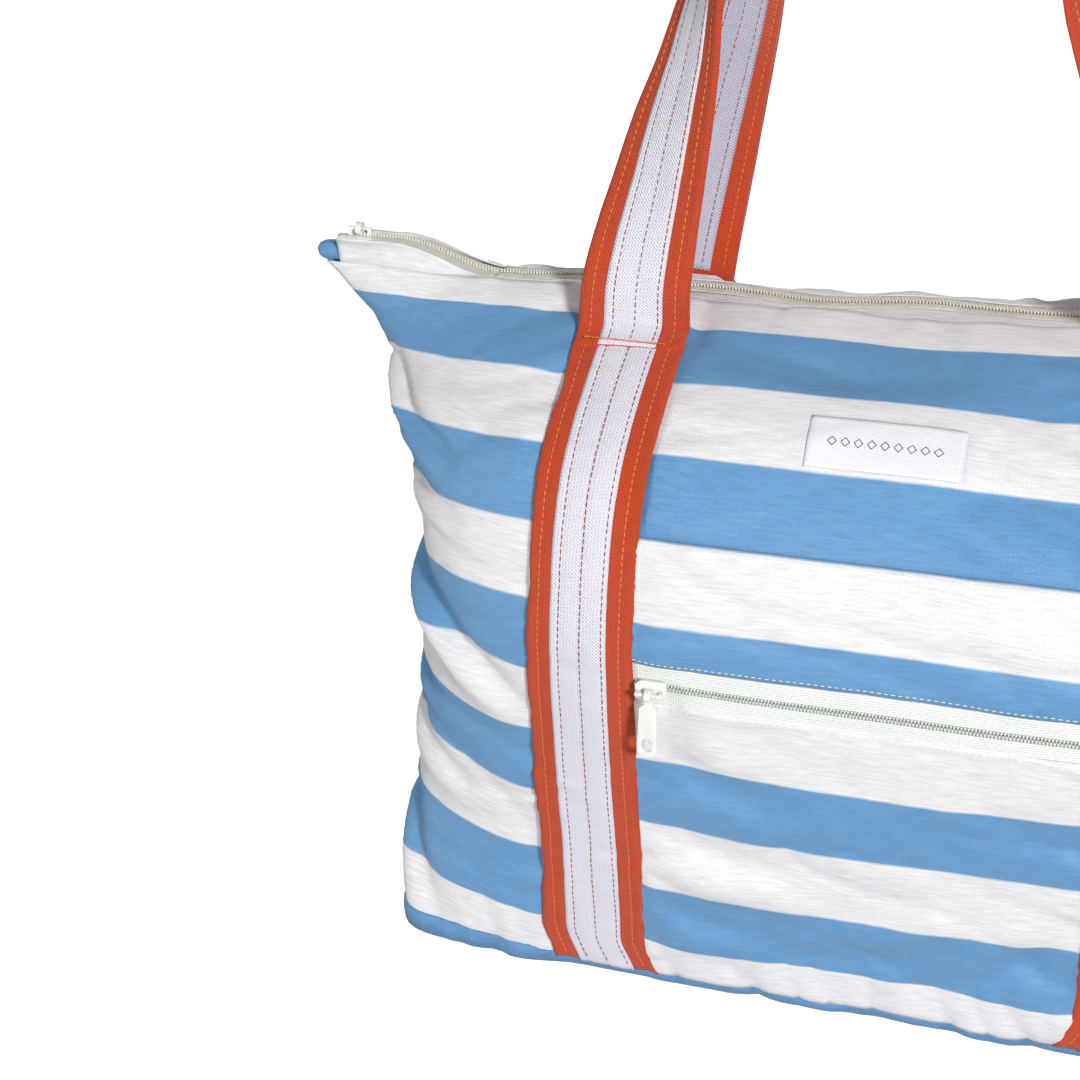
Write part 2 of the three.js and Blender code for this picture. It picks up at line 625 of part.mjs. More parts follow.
function buildPocketSlider() {
  const OUT = POCKET_LAYER[0] + TAPE_SKIN + 2.0;
  const middle = skinPoint(-1, 0, POCKET_ZIP, OUT);
  const group = new THREE.Group();
  group.position.set(-POCKET_SLIDER_X, middle.y, middle.z);
  group.rotation.x = Math.PI / 2;
  bag.add(group);
  const finish = { roughness: 0.35, metalness: 0.1 };
  addPiece("pocket_slider", sliderGeometry(), COLOUR.enamel, { ...finish, parent: group });
  const pull = addPiece("pocket_puller", pullGeometry(), COLOUR.enamel, finish);
  pull.position.set(-POCKET_SLIDER_X, middle.y - PIVOT_RISE, middle.z);
}

function buildLabel() {
  const SPAN = [-36, 30];
  const LOW = 285;
  const HEIGHT = 24;
  const sheet = clothSheet(-1, SPAN, [LOW, LOW + HEIGHT], [GAP, GAP + 0.7]);
  addPiece("label", sheet, COLOUR.band);
}

buildBody();
buildSideSeams();
buildBase();
buildStraps();
buildHandles();
buildMainZip();
buildZipEnds();
buildMainSlider();
buildPocket();
buildPocketSlider();
buildLabel();

export default bag;
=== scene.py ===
"""Dresses the weekender bag: striped cloth shell, sewn straps and handles, zips, label, floor and light."""

import logging
import math
from dataclasses import dataclass, field
from enum import Enum
from typing import Callable, Sequence

import bmesh
import bpy
import numpy as np
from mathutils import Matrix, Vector


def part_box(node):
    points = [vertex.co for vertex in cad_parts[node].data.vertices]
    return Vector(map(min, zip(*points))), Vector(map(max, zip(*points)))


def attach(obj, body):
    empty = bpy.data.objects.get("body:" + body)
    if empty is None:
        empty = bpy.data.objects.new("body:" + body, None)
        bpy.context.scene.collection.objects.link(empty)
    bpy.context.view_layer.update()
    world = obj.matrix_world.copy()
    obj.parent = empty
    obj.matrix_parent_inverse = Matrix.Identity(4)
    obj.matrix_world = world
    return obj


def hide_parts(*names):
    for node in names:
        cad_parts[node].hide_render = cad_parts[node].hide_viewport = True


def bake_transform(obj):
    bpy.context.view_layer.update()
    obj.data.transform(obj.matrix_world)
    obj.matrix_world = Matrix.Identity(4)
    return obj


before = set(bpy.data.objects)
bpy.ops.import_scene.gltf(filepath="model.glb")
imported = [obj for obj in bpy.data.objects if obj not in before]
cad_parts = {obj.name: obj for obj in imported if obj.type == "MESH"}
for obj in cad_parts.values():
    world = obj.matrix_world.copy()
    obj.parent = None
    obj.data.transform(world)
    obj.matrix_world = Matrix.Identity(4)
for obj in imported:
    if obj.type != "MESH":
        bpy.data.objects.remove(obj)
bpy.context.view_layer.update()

logging.basicConfig(level=logging.INFO, format="%(message)s")
LOG = logging.getLogger("weekender")

MM = 0.001
FLOOR_LEVEL = -0.3
LOWEST_CLOTH = 0.2
CHAIN_PITCH = 1.5

# Length, width, height and unevenness of what is repeated, in millimetres.
WEBBING_STITCH = (3.2, 0.7, 0.6, 0.2)
BAR_STITCH = (1.9, 0.8, 0.7, 0.25)
POCKET_STITCH = (2.3, 0.5, 0.45, 0.15)
LABEL_STITCH = (1.9, 0.4, 0.35, 0.15)
MOTIF_STITCH = (1.1, 0.5, 0.3, 0.1)
POCKET_TOOTH = (2.5, 0.95, 1.5, 0.06)
MAIN_TOOTH = (2.6, 0.95, 1.6, 0.06)

Array = np.ndarray
Colour = tuple[float, float, float]
Tree = bpy.types.NodeTree
Socket = bpy.types.NodeSocket
Piece = bpy.types.Object
Material = bpy.types.Material


class Side(Enum):
    """Face of the bag, as the sign of Y."""

    FRONT = -1
    BACK = 1


class Hand(Enum):
    """Left or right half of the bag, as the sign of X."""

    LEFT = -1
    RIGHT = 1


class Coupling(Enum):
    """Where a material's pattern takes its coordinates."""

    CLOTH = "UVMap"
    OBJECT = "Object"


# ---------------------------------------------------------------- numbers


def smooth(x: Array | float, low: float = 0.0, high: float = 1.0) -> Array:
    """Smooth step of x from 0 at low to 1 at high."""
    f = np.clip((np.asarray(x, float) - low) / (high - low), 0, 1)
    return f * f * (3 - 2 * f)


def table_at(positions: Array, values: Array, x: Array | float) -> Array:
    """Smooth value of a table with rising positions.

    Args:
        positions: the table's positions.
        values: the value at each position.
        x: where the table is read.

    Returns:
        The values of a cubic through the table at x.
    """
    x = np.asarray(x, float)
    last = len(positions) - 1
    before = np.maximum(np.arange(last + 1) - 1, 0)
    after = np.minimum(np.arange(last + 1) + 1, last)
    slopes = (values[after] - values[before]) / (positions[after] - positions[before])
    i = np.clip(np.searchsorted(positions, x, side="left") - 1, 0, last - 1)
    span = positions[i + 1] - positions[i]
    f = (x - positions[i]) / span
    rise = values[i + 1] - values[i]
    start, end = slopes[i] * span, slopes[i + 1] * span
    return values[i] + f * (start + f * (3 * rise - 2 * start - end + f * (start + end - 2 * rise)))


def cloth_noise(x: Array, y: Array, seed: int) -> Array:
    """Smooth random field from about -1 to 1 whose features are one unit wide."""
    size = 64
    lattice = np.random.default_rng(seed).uniform(-1, 1, (size, size))
    x, y = np.broadcast_arrays(np.asarray(x, float), np.asarray(y, float))
    i, j = np.floor(x).astype(int), np.floor(y).astype(int)
    fx, fy = smooth(x - i), smooth(y - j)
    low = lattice[i % size, j % size] * (1 - fx) + lattice[(i + 1) % size, j % size] * fx
    high = lattice[i % size, (j + 1) % size] * (1 - fx) + lattice[(i + 1) % size, (j + 1) % size] * fx
    return low * (1 - fy) + high * fy


def creases(field_values: Array, sharpness: float = 0.16) -> Array:
    """Sharp valleys along the zero lines of a random field, between low rolls."""
    return 0.3 - np.exp(-np.abs(field_values) / sharpness)


def unit(v: Array) -> Array:
    """Vectors scaled to length one."""
    return v / np.maximum(np.linalg.norm(v, axis=-1, keepdims=True), 1e-12)


# ---------------------------------------------------------------- body form


@dataclass(frozen=True)
class BodyShape:
    """Form of the stuffed body in millimetres, on a net of cloth distance s and cloth height t."""

    stripe: float = 37.0
    base_band: float = 24.0
    top_band: float = 20.0
    bands: int = 9
    cloth_half: float = 300.0
    lean: tuple[float, ...] = (8, 12, 11, 11, 10, 4, -10, -30, -48, -62, -66)
    half_width: tuple[float, ...] = (236, 238, 238, 237, 235, 232, 231, 236, 247, 261, 282, 295)
    side_lift: tuple[float, ...] = (3, 12, 16, 15, 10, 4, -2, -6, -8, -12, -7, -2)
    base_half_depth: float = 91.0
    foot: float = 2.0
    plan_power: float = 3.2
    base_power: float = 9.0
    base_blend: float = 0.32
    ear_power: float = 2.6
    ear_taper: float = 0.9
    ear_start: float = 0.72
    seam_half: float = 3.0
    face_half: float = 165.0

    @property
    def edges(self) -> Array:
        """Cloth heights of the band edges."""
        inner = [self.base_band + i * self.stripe for i in range(self.bands + 1)]
        return np.array([0.0, *inner, inner[-1] + self.top_band])

    @property
    def height(self) -> float:
        """Cloth height of the mouth's edge."""
        return float(self.edges[-1])

    def profile(self) -> tuple[Array, Array]:
        """Height and half depth of the middle of the body at each band edge."""
        bands, lean = np.diff(self.edges), np.radians(self.lean)
        z = self.foot + np.concatenate([[0], np.cumsum(bands * np.cos(lean))])
        depth = self.base_half_depth + np.concatenate([[0], np.cumsum(bands * np.sin(lean))])
        return z, depth

    def outline(self, t: float) -> tuple[float, float, float, float]:
        """Half width, half depth, power and taper of the plan outline at cloth height t."""
        share = t / self.height
        ear = float(smooth(share, self.ear_start, 1))
        rise = math.sqrt(max(2 * float(smooth(share, -self.base_blend, self.base_blend)) - 1, 0))
        body = self.base_power + (self.plan_power - self.base_power) * rise
        depth = self.profile()[1]
        return (
            float(table_at(self.edges, np.array(self.half_width, float), t)),
            float(table_at(self.edges, depth, t)),
            body + (self.ear_power - body) * ear,
            1 / body + (self.ear_taper - 1 / body) * ear,
        )

    def depth_at(self, t: float, q: Array) -> Array:
        """Half depth of the outline at a share q of its half width."""
        _, half_depth, power, taper = self.outline(t)
        fall = np.maximum(1 - np.abs(q) ** power, 0) ** taper
        return self.seam_half + (half_depth - self.seam_half) * fall

    def row(self, side: Side, s: Array, t: float) -> Array:
        """Points of the outer face along one cloth height.

        Args:
            side: the face.
            s: distances along the cloth from the centre line.
            t: cloth height.

        Returns:
            One point for each distance.
        """
        steps = 160
        q = np.sin(np.linspace(0, np.pi / 2, steps + 1))
        half_width = self.outline(t)[0]
        y = self.depth_at(t, q)
        lengths = np.concatenate([[0], np.cumsum(np.hypot(np.diff(q) * half_width, np.diff(y)))])
        beside = np.maximum(np.abs(s) - self.face_half, 0) / (self.cloth_half - self.face_half)
        target = np.abs(s) + (lengths[-1] - self.cloth_half) * beside
        share = np.sign(s) * np.interp(target, lengths, q)
        lift = float(table_at(self.edges, np.array(self.side_lift, float), t)) * np.abs(share) ** 3
        z = float(table_at(self.edges, self.profile()[0], t)) + lift
        return np.stack([share * half_width, side.value * self.depth_at(t, share), z], -1)


@dataclass(frozen=True)
class Fold:
    """One crease: a line on the cloth with a valley and a soft roll beside it."""

    line: tuple[tuple[float, float], ...]
    depth: float
    width: float
    roll: float = 0.7

    def relief(self, s: Array, t: Array) -> Array:
        """Height of the crease at each place, outwards."""
        points = np.array(self.line, float)
        lengths = np.concatenate([[0], np.cumsum(np.linalg.norm(np.diff(points, axis=0), axis=1))])
        best = np.full(s.shape, 1e9)
        across = np.zeros(s.shape)
        along = np.zeros(s.shape)
        for k in range(len(points) - 1):
            a, d = points[k], points[k + 1] - points[k]
            f = np.clip(((s - a[0]) * d[0] + (t - a[1]) * d[1]) / (d @ d), 0, 1)
            ds, dt = s - a[0] - f * d[0], t - a[1] - f * d[1]
            distance = np.hypot(ds, dt)
            nearer = distance < best
            best = np.where(nearer, distance, best)
            sign = np.sign(d[0] * dt - d[1] * ds)
            across = np.where(nearer, sign * distance, across)
            along = np.where(nearer, (lengths[k] + f * np.hypot(*d)) / lengths[-1], along)
        fade = np.sin(np.pi * np.clip(along * 0.92 + 0.04, 0, 1)) ** 0.7
        valley = np.exp(-((across / self.width) ** 2))
        ridge = np.exp(-(((across - 1.9 * self.width) / (1.3 * self.width)) ** 2))
        return self.depth * fade * (self.roll * ridge - valley)


@dataclass(frozen=True)
class Relief:
    """Creases, puckers and soft swells that the cloth carries, in millimetres."""

    shape: BodyShape
    strap_offset: float = 128.5
    strap_half: float = 25.0
    swell: float = 2.4
    pucker: float = 2.5
    shallow: float = 4.0
    give: float = 1.3
    folds: tuple[Fold, ...] = (
        Fold(((292, 326), (262, 304), (240, 284), (205, 268)), 7.0, 6.0),
        Fold(((284, 226), (236, 196), (208, 178), (160, 150)), 8.0, 7.0),
        Fold(((280, 74), (250, 52), (226, 26), (210, 6)), 6.0, 6.0),
        Fold(((276, 262), (240, 246), (200, 240)), 4.4, 5),
        Fold(((286, 150), (250, 130), (220, 122)), 4.2, 5.5),
        Fold(((270, 112), (236, 92), (196, 84)), 4.0, 5),
        Fold(((100, 152), (70, 128), (30, 118)), 3.0, 8),
        Fold(((98, 96), (60, 84), (20, 82)), 3.0, 8),
        Fold(((96, 54), (66, 42), (36, 44)), 3.0, 7),
        Fold(((-60, 60), (-20, 36), (40, 30)), 2.6, 9),
        Fold(((-96, 70), (-70, 40), (-30, 22)), 3.4, 8),
        Fold(((60, 340), (20, 334), (-40, 338)), 1.2, 8),
    )

    def strap_centre(self, t: Array) -> Array:
        """Distance of a strap's centre line from the middle, which draws in at its foot and its head."""
        top, low, foot = smooth(t, 230, self.shape.height), smooth(-t, -130, -60), smooth(-t, -22, 0)
        return self.strap_offset - 3.5 * top - 2.0 * low - 7.0 * foot

    def side_puckers(self, s: Array, t: Array, seed: int) -> Array:
        """Small folds that run in from the side seams."""
        reach = np.abs(s) - self.shape.cloth_half
        wave = cloth_noise((t + 0.2 * reach) / 11, reach / 90, seed)
        broad = cloth_noise((t + 0.25 * reach) / 27, reach / 90, seed + 1)
        valleys = 2.6 * creases(wave) * np.exp(reach / 22) + 3.4 * creases(broad) * np.exp(reach / 52)
        return 1.0 * wave * np.exp(reach / 17) + 2.2 * broad * np.exp(reach / 40) + valleys

    def strap_puckers(self, s: Array, t: Array, seed: int) -> Array:
        """Small folds that run out from both edges of each strap."""
        total = np.zeros(np.broadcast(s, t).shape)
        for n, hand in enumerate(Hand):
            away = np.abs(s - hand.value * self.strap_centre(t)) - self.strap_half
            reach = np.maximum(away, 0)
            turn = np.sign(s - hand.value * self.strap_centre(t))
            slant = t + 0.3 * reach * turn * hand.value
            fine = cloth_noise(slant / 8.5, turn * 3.3 + reach / 60, seed + 7 * n)
            broad = cloth_noise(slant / 21, turn * 5.1 + reach / 90, seed + 7 * n + 3)
            total += self.pucker * (0.45 * fine * np.exp(-reach / 13) + 0.7 * broad * np.exp(-reach / 34))
            total += 2.0 * creases(fine) * np.exp(-reach / 16) + 3.0 * creases(broad) * np.exp(-reach / 42)
            total -= 1.3 * np.exp(-((reach / 9) ** 2)) * (away > 0)
        return total

    def seam_puckers(self, s: Array, t: Array, seed: int) -> Array:
        """Gathers above the base seam and below the mouth's edge."""
        top, foot = self.shape.height - t, t
        gather = cloth_noise(s / 9, top / 50, seed) * np.exp(-top / 9)
        tuck = cloth_noise((s + 0.4 * foot) / 12, foot / 60, seed + 1) * np.exp(-foot / 20)
        hollow = cloth_noise(s / 34, top / 70, seed + 2) * np.exp(-top / 26)
        valleys = 2.6 * creases(cloth_noise((s + 0.5 * foot) / 15, foot / 60, seed + 3)) * np.exp(-foot / 26)
        return 1.0 * gather + 1.5 * tuck + 2.0 * hollow + valleys

    def height(self, side: Side, s: Array, t: Array) -> Array:
        """Relief of the body's cloth at each place.

        Args:
            side: the face.
            s: distances along the cloth.
            t: cloth heights.

        Returns:
            Millimetres outwards from the smooth body.
        """
        seed = 11 if side is Side.FRONT else 47
        facing = -s if side is Side.FRONT else s
        total = self.swell * cloth_noise(s / 85, t / 60, seed)
        total = total + 0.6 * cloth_noise(s / 42 + t / 120, t / 13, seed + 2)
        total = total + 1.8 * creases(cloth_noise(s / 75 + t / 90, t / 30 + s / 260, seed + 4), 0.14)
        for fold in self.folds:
            total = total + fold.relief(facing, t)
        for fold in self.folds[:6]:
            total = total + 0.75 * fold.relief(-facing - 6, t + 5)
        total = total + self.side_puckers(s, t, seed + 3)
        total = total + self.strap_puckers(s, t, seed + 5)
        total = total + self.seam_puckers(s, t, seed + 20)
        total = total * self.calm(side, s, t)
        over = np.maximum(-self.shallow - total, 0)
        return np.where(over > 0, -self.shallow - self.give * (1 - np.exp(-over / self.give)), total)

    def calm(self, side: Side, s: Array, t: Array) -> Array:
        """Share of the relief that is left under the straps and the pocket's zip."""
        share = np.ones(np.broadcast(s, t).shape)
        for hand in Hand:
            away = np.abs(s - hand.value * self.strap_centre(t)) - self.strap_half
            share = share * (0.12 + 0.88 * smooth(away, -3, 4))
        if side is Side.FRONT:
            zip_band = smooth(9 - np.abs(t - 179), -10, 6) * smooth(104 - np.abs(s), -4, 4)
            share = share * (1 - 0.7 * zip_band)
        edge = smooth(self.shape.cloth_half - np.abs(s), 0, 16)
        return share * (0.2 + 0.8 * edge)


class Skin:
    """The body's outer face with its relief, on a fine net that every sewn layer shares."""

    S_STEPS = 240
    T_STEPS = 152

    def __init__(self, shape: BodyShape, relief: Relief) -> None:
        """Builds the net of both faces."""
        self.shape = shape
        self.relief = relief
        self.s = np.linspace(-shape.cloth_half, shape.cloth_half, self.S_STEPS + 1)
        self.t = np.linspace(0, shape.height, self.T_STEPS + 1)
        self.plain: dict[Side, Array] = {}
        self.points: dict[Side, Array] = {}
        self.normals: dict[Side, Array] = {}
        for side in Side:
            plain = np.stack([shape.row(side, self.s, t) for t in self.t])
            normals = self.net_normals(plain, side)
            height = relief.height(side, self.s[None, :], self.t[:, None])
            raised = plain + normals * height[..., None]
            self.plain[side] = plain
            self.points[side] = raised
            self.normals[side] = self.soften(self.net_normals(raised, side) + 5 * normals)

    @staticmethod
    def net_normals(net: Array, side: Side) -> Array:
        """Outward normals of a net of points."""
        up, across = np.gradient(net, axis=0), np.gradient(net, axis=1)
        return unit(np.cross(across, up) * -side.value)

    @staticmethod
    def soften(normals: Array) -> Array:
        """Normals averaged with their neighbours."""
        for _ in range(2):
            for axis in (0, 1):
                ahead = np.concatenate([normals.take(range(1, normals.shape[axis]), axis),
                                        normals.take([-1], axis)], axis)
                behind = np.concatenate([normals.take([0], axis),
                                         normals.take(range(normals.shape[axis] - 1), axis)], axis)
                normals = (ahead + 2 * normals + behind) / 4
        return unit(normals)

    def read(self, net: Array, s: Array, t: Array) -> Array:
        """Values of a net between its lines."""
        x = np.clip((s + self.shape.cloth_half) / (2 * self.shape.cloth_half), 0, 1) * self.S_STEPS
        y = np.clip(t / self.shape.height, 0, 1) * self.T_STEPS
        j, i = np.minimum(x.astype(int), self.S_STEPS - 1), np.minimum(y.astype(int), self.T_STEPS - 1)
        fx, fy = (x - j)[..., None], (y - i)[..., None]
        low = net[i, j] * (1 - fx) + net[i, j + 1] * fx
        return low * (1 - fy) + (net[i + 1, j] * (1 - fx) + net[i + 1, j + 1] * fx) * fy

    def at(self, side: Side, s: Array, t: Array, out: Array | float = 0.0) -> Array:
        """Points in millimetres at places on the cloth, moved outwards.

        Args:
            side: the face.
            s: distances along the cloth.
            t: cloth heights.
            out: distance outwards.

        Returns:
            Points with the shape of s and t together.
        """
        s, t, out = np.broadcast_arrays(np.asarray(s, float), np.asarray(t, float), np.asarray(out, float))
        return self.read(self.points[side], s, t) + self.normal(side, s, t) * out[..., None]

    def beneath(self, side: Side, s: Array, t: Array, out: Array | float) -> Array:
        """Points under the smooth body, for the layers inside that don't follow the creases."""
        out = np.broadcast_to(np.asarray(out, float), s.shape)
        return self.read(self.plain[side], s, t) + self.normal(side, s, t) * out[..., None]

    def normal(self, side: Side, s: Array, t: Array) -> Array:
        """Outward normals at places on the cloth."""
        return unit(self.read(self.normals[side], np.asarray(s, float), np.asarray(t, float)))


# ---------------------------------------------------------------- meshes


def placed(name: str, data: bpy.types.ID) -> Piece:
    """An object with this data, linked to the scene at the origin."""
    obj = bpy.data.objects.new(name, data)
    bpy.context.scene.collection.objects.link(obj)
    return obj


def resolved(source: Piece) -> bpy.types.Mesh:
    """The plain mesh that an object's modifiers make."""
    graph = bpy.context.evaluated_depsgraph_get()
    return bpy.data.meshes.new_from_object(source.evaluated_get(graph), depsgraph=graph)


def mesh_object(name: str, points: Array, faces: list[tuple[int, ...]], uv: Array | None = None) -> Piece:
    """A mesh object from points in millimetres.

    Args:
        name: the piece's name.
        points: one row for each point.
        faces: point numbers of each face, facing outwards.
        uv: cloth coordinates of each point in millimetres, if it has them.

    Returns:
        The object, linked to the scene.
    """
    mesh = bpy.data.meshes.new(name)
    mesh.from_pydata([tuple(p) for p in np.asarray(points) * MM], [], faces)
    mesh.polygons.foreach_set("use_smooth", [True] * len(mesh.polygons))
    if uv is not None:
        layer = mesh.uv_layers.new(name=Coupling.CLOTH.value)
        corners = np.zeros(len(mesh.loops), int)
        mesh.loops.foreach_get("vertex_index", corners)
        layer.data.foreach_set("uv", (np.asarray(uv)[corners] * MM).astype(np.float32).ravel())
    mesh.update()
    return placed(name, mesh)


def sheet_faces(rows: int, columns: int, flip: bool) -> list[tuple[int, ...]]:
    """Faces of a closed sheet between an outer and an inner net of points."""
    layer = rows * columns
    faces: list[tuple[int, ...]] = []
    for i in range(rows - 1):
        for j in range(columns - 1):
            a = i * columns + j
            faces.append((a, a + 1, a + columns + 1, a + columns))
            faces.append((layer + a, layer + a + columns, layer + a + columns + 1, layer + a + 1))
    for j in range(columns - 1):
        a, b = j, (rows - 1) * columns + j
        faces.append((a, layer + a, layer + a + 1, a + 1))
        faces.append((b, b + 1, layer + b + 1, layer + b))
    for i in range(rows - 1):
        a, b = i * columns, i * columns + columns - 1
        faces.append((a, a + columns, layer + a + columns, layer + a))
        faces.append((b, layer + b, layer + b + columns, b + columns))
    return [f[::-1] for f in faces] if flip else faces


def closed_sheet(name: str, outer: Array, inner: Array, uv: Array, flip: bool = False) -> Piece:
    """A closed sheet of cloth between two nets of points that share their outline."""
    rows, columns = outer.shape[:2]
    points = np.concatenate([outer.reshape(-1, 3), inner.reshape(-1, 3)])
    flat = np.concatenate([uv.reshape(-1, 2)] * 2)
    return mesh_object(name, points, sheet_faces(rows, columns, flip), flat)


def span(low: float, high: float, step: float) -> Array:
    """Evenly spaced values from low to high, no further apart than step."""
    return np.linspace(low, high, max(int(math.ceil((high - low) / step)), 1) + 1)


@dataclass
class ClothLayer:
    """A layer sewn on the body: a patch of its net between two offsets."""

    name: str
    side: Side
    s_span: tuple[float, float]
    t_span: tuple[float, float]
    low: float
    high: float
    step: float = 2.5
    edge_roll: float = 0.0
    lift: Callable[[Array, Array], Array] | None = None
    centre: Callable[[Array], Array] | None = None
    inside: bool = False

    def build(self, skin: Skin) -> Piece:
        """Makes the layer, with its edges rolled down towards the body where it has a roll."""
        s, t = np.meshgrid(span(*self.s_span, self.step), span(*self.t_span, self.step))
        place = s + (self.centre(t) if self.centre else 0)
        high = np.full(s.shape, self.high)
        if self.edge_roll:
            away = np.minimum.reduce([s - self.s_span[0], self.s_span[1] - s,
                                      t - self.t_span[0], self.t_span[1] - t])
            drop = np.sqrt(np.clip(1 - (1 - np.clip(away / self.edge_roll, 0, 1)) ** 2, 0, 1))
            high = self.low + 0.15 + (self.high - self.low - 0.15) * (0.35 + 0.65 * drop)
        low = np.full(s.shape, self.low)
        if self.lift:
            extra = self.lift(s, t)
            high, low = high + extra, low + extra
        points = skin.beneath if self.inside else skin.at
        outer, inner = points(self.side, place, t, high), points(self.side, place, t, low)
        return closed_sheet(self.name, outer, inner, np.stack([s, t], -1), self.side is Side.BACK)


# ---------------------------------------------------------------- repeated elements


def group_input(group: Tree, name: str, kind: str) -> None:
    """Adds a named input to a node group."""
    group.interface.new_socket(name=name, in_out="INPUT", socket_type=kind)


def repeat_tree(label: str, seed: int) -> Tree:
    """Geometry nodes that set one small rounded element on each point of a run.

    Args:
        label: the tree's name.
        seed: seed of the small differences between elements.

    Returns:
        The tree, with inputs for the element's length, width, height, unevenness and material.
    """
    tree = bpy.data.node_groups.new(label, "GeometryNodeTree")
    group_input(tree, "Geometry", "NodeSocketGeometry")
    for name in ("Length", "Width", "Height", "Unevenness"):
        group_input(tree, name, "NodeSocketFloat")
    group_input(tree, "Material", "NodeSocketMaterial")
    tree.interface.new_socket(name="Geometry", in_out="OUTPUT", socket_type="NodeSocketGeometry")
    nodes, links = tree.nodes, tree.links
    given, out = nodes.new("NodeGroupInput"), nodes.new("NodeGroupOutput")
    element = nodes.new("GeometryNodeMeshUVSphere")
    element.inputs["Segments"].default_value = 6
    element.inputs["Rings"].default_value = 4
    element.inputs["Radius"].default_value = 0.5
    smooth_node = nodes.new("GeometryNodeSetShadeSmooth")
    place = nodes.new("GeometryNodeInstanceOnPoints")
    turns = []
    for name, axis, pivot in (("along", "X", "AUTO"), ("face", "Z", "X")):
        read = nodes.new("GeometryNodeInputNamedAttribute")
        read.data_type = "FLOAT_VECTOR"
        read.inputs["Name"].default_value = name
        align = nodes.new("FunctionNodeAlignRotationToVector")
        align.axis, align.pivot_axis = axis, pivot
        links.new(read.outputs["Attribute"], align.inputs["Vector"])
        turns.append(align)
    links.new(turns[0].outputs["Rotation"], turns[1].inputs["Rotation"])
    size = nodes.new("ShaderNodeCombineXYZ")
    for name, axis in (("Length", "X"), ("Width", "Y"), ("Height", "Z")):
        links.new(given.outputs[name], size.inputs[axis])
    chance = nodes.new("FunctionNodeRandomValue")
    chance.data_type = "FLOAT"
    chance.inputs["Seed"].default_value = seed
    spread = nodes.new("ShaderNodeMath")
    spread.operation = "MULTIPLY_ADD"
    spread.inputs[2].default_value = 1.0
    centre = nodes.new("ShaderNodeMath")
    centre.operation = "SUBTRACT"
    centre.inputs[1].default_value = 0.5
    links.new(chance.outputs[1], centre.inputs[0])
    links.new(centre.outputs[0], spread.inputs[0])
    links.new(given.outputs["Unevenness"], spread.inputs[1])
    scaled = nodes.new("ShaderNodeVectorMath")
    scaled.operation = "SCALE"
    links.new(size.outputs[0], scaled.inputs[0])
    links.new(spread.outputs[0], scaled.inputs["Scale"])
    links.new(given.outputs["Geometry"], place.inputs["Points"])
    links.new(element.outputs["Mesh"], smooth_node.inputs[0])
    links.new(smooth_node.outputs[0], place.inputs["Instance"])
    links.new(turns[1].outputs["Rotation"], place.inputs["Rotation"])
    links.new(scaled.outputs[0], place.inputs["Scale"])
    real = nodes.new("GeometryNodeRealizeInstances")
    dress = nodes.new("GeometryNodeSetMaterial")
    links.new(place.outputs["Instances"], real.inputs[0])
    links.new(real.outputs[0], dress.inputs["Geometry"])
    links.new(given.outputs["Material"], dress.inputs["Material"])
    links.new(dress.outputs[0], out.inputs[0])
    return tree


@dataclass
class Run:
    """Points of a run of repeated elements, with each element's direction and face."""

    points: list[Array] = field(default_factory=list)
    along: list[Array] = field(default_factory=list)
    face: list[Array] = field(default_factory=list)

    def add(self, points: Array, along: Array, face: Array) -> None:
        """Adds points to the run."""
        self.points.append(np.asarray(points).reshape(-1, 3))
        self.along.append(np.broadcast_to(along, points.shape).reshape(-1, 3))
        self.face.append(np.broadcast_to(face, points.shape).reshape(-1, 3))

    def add_path(self, path: Array, face: Array, pitch: float) -> None:
        """Adds evenly spaced points along a path with a face direction at each of its points."""
        lengths = np.concatenate([[0], np.cumsum(np.linalg.norm(np.diff(path, axis=0), axis=1))])
        where = np.arange(pitch / 2, lengths[-1], pitch)
        at = np.stack([np.interp(where, lengths, path[:, k]) for k in range(3)], -1)
        up = np.stack([np.interp(where, lengths, face[:, k]) for k in range(3)], -1)
        ahead = np.stack([np.interp(where + 0.5, lengths, path[:, k]) for k in range(3)], -1)
        behind = np.stack([np.interp(where - 0.5, lengths, path[:, k]) for k in range(3)], -1)
        self.add(at, unit(ahead - behind), unit(up))


@dataclass
class Repeater:
    """Turns runs into plain meshes of repeated elements, sizes in millimetres."""

    length: float
    width: float
    height: float
    unevenness: float
    material: Material
    seed: int

    def build(self, name: str, run: Run) -> Piece:
        """Makes one plain mesh from a run.

        Args:
            name: the piece's name.
            run: where the elements stand.

        Returns:
            The piece, with its modifier already resolved.
        """
        source = mesh_object(name + "_points", np.concatenate(run.points), [])
        for label, values in (("along", run.along), ("face", run.face)):
            data = source.data.attributes.new(label, "FLOAT_VECTOR", "POINT")
            data.data.foreach_set("vector", np.concatenate(values).astype(np.float32).ravel())
        tree = repeat_tree(name + "_repeat", self.seed)
        modifier = source.modifiers.new("repeat", "NODES")
        modifier.node_group = tree
        sizes = {"Length": self.length * MM, "Width": self.width * MM, "Height": self.height * MM,
                 "Unevenness": self.unevenness, "Material": self.material}
        for item in tree.interface.items_tree:
            if item.in_out == "INPUT" and item.name in sizes:
                modifier[item.identifier] = sizes[item.name]
        bpy.context.view_layer.update()
        mesh = resolved(source)
        mesh.name = name
        source.modifiers.remove(modifier)
        bpy.data.objects.remove(source)
        return placed(name, mesh)


# ---------------------------------------------------------------- finishes


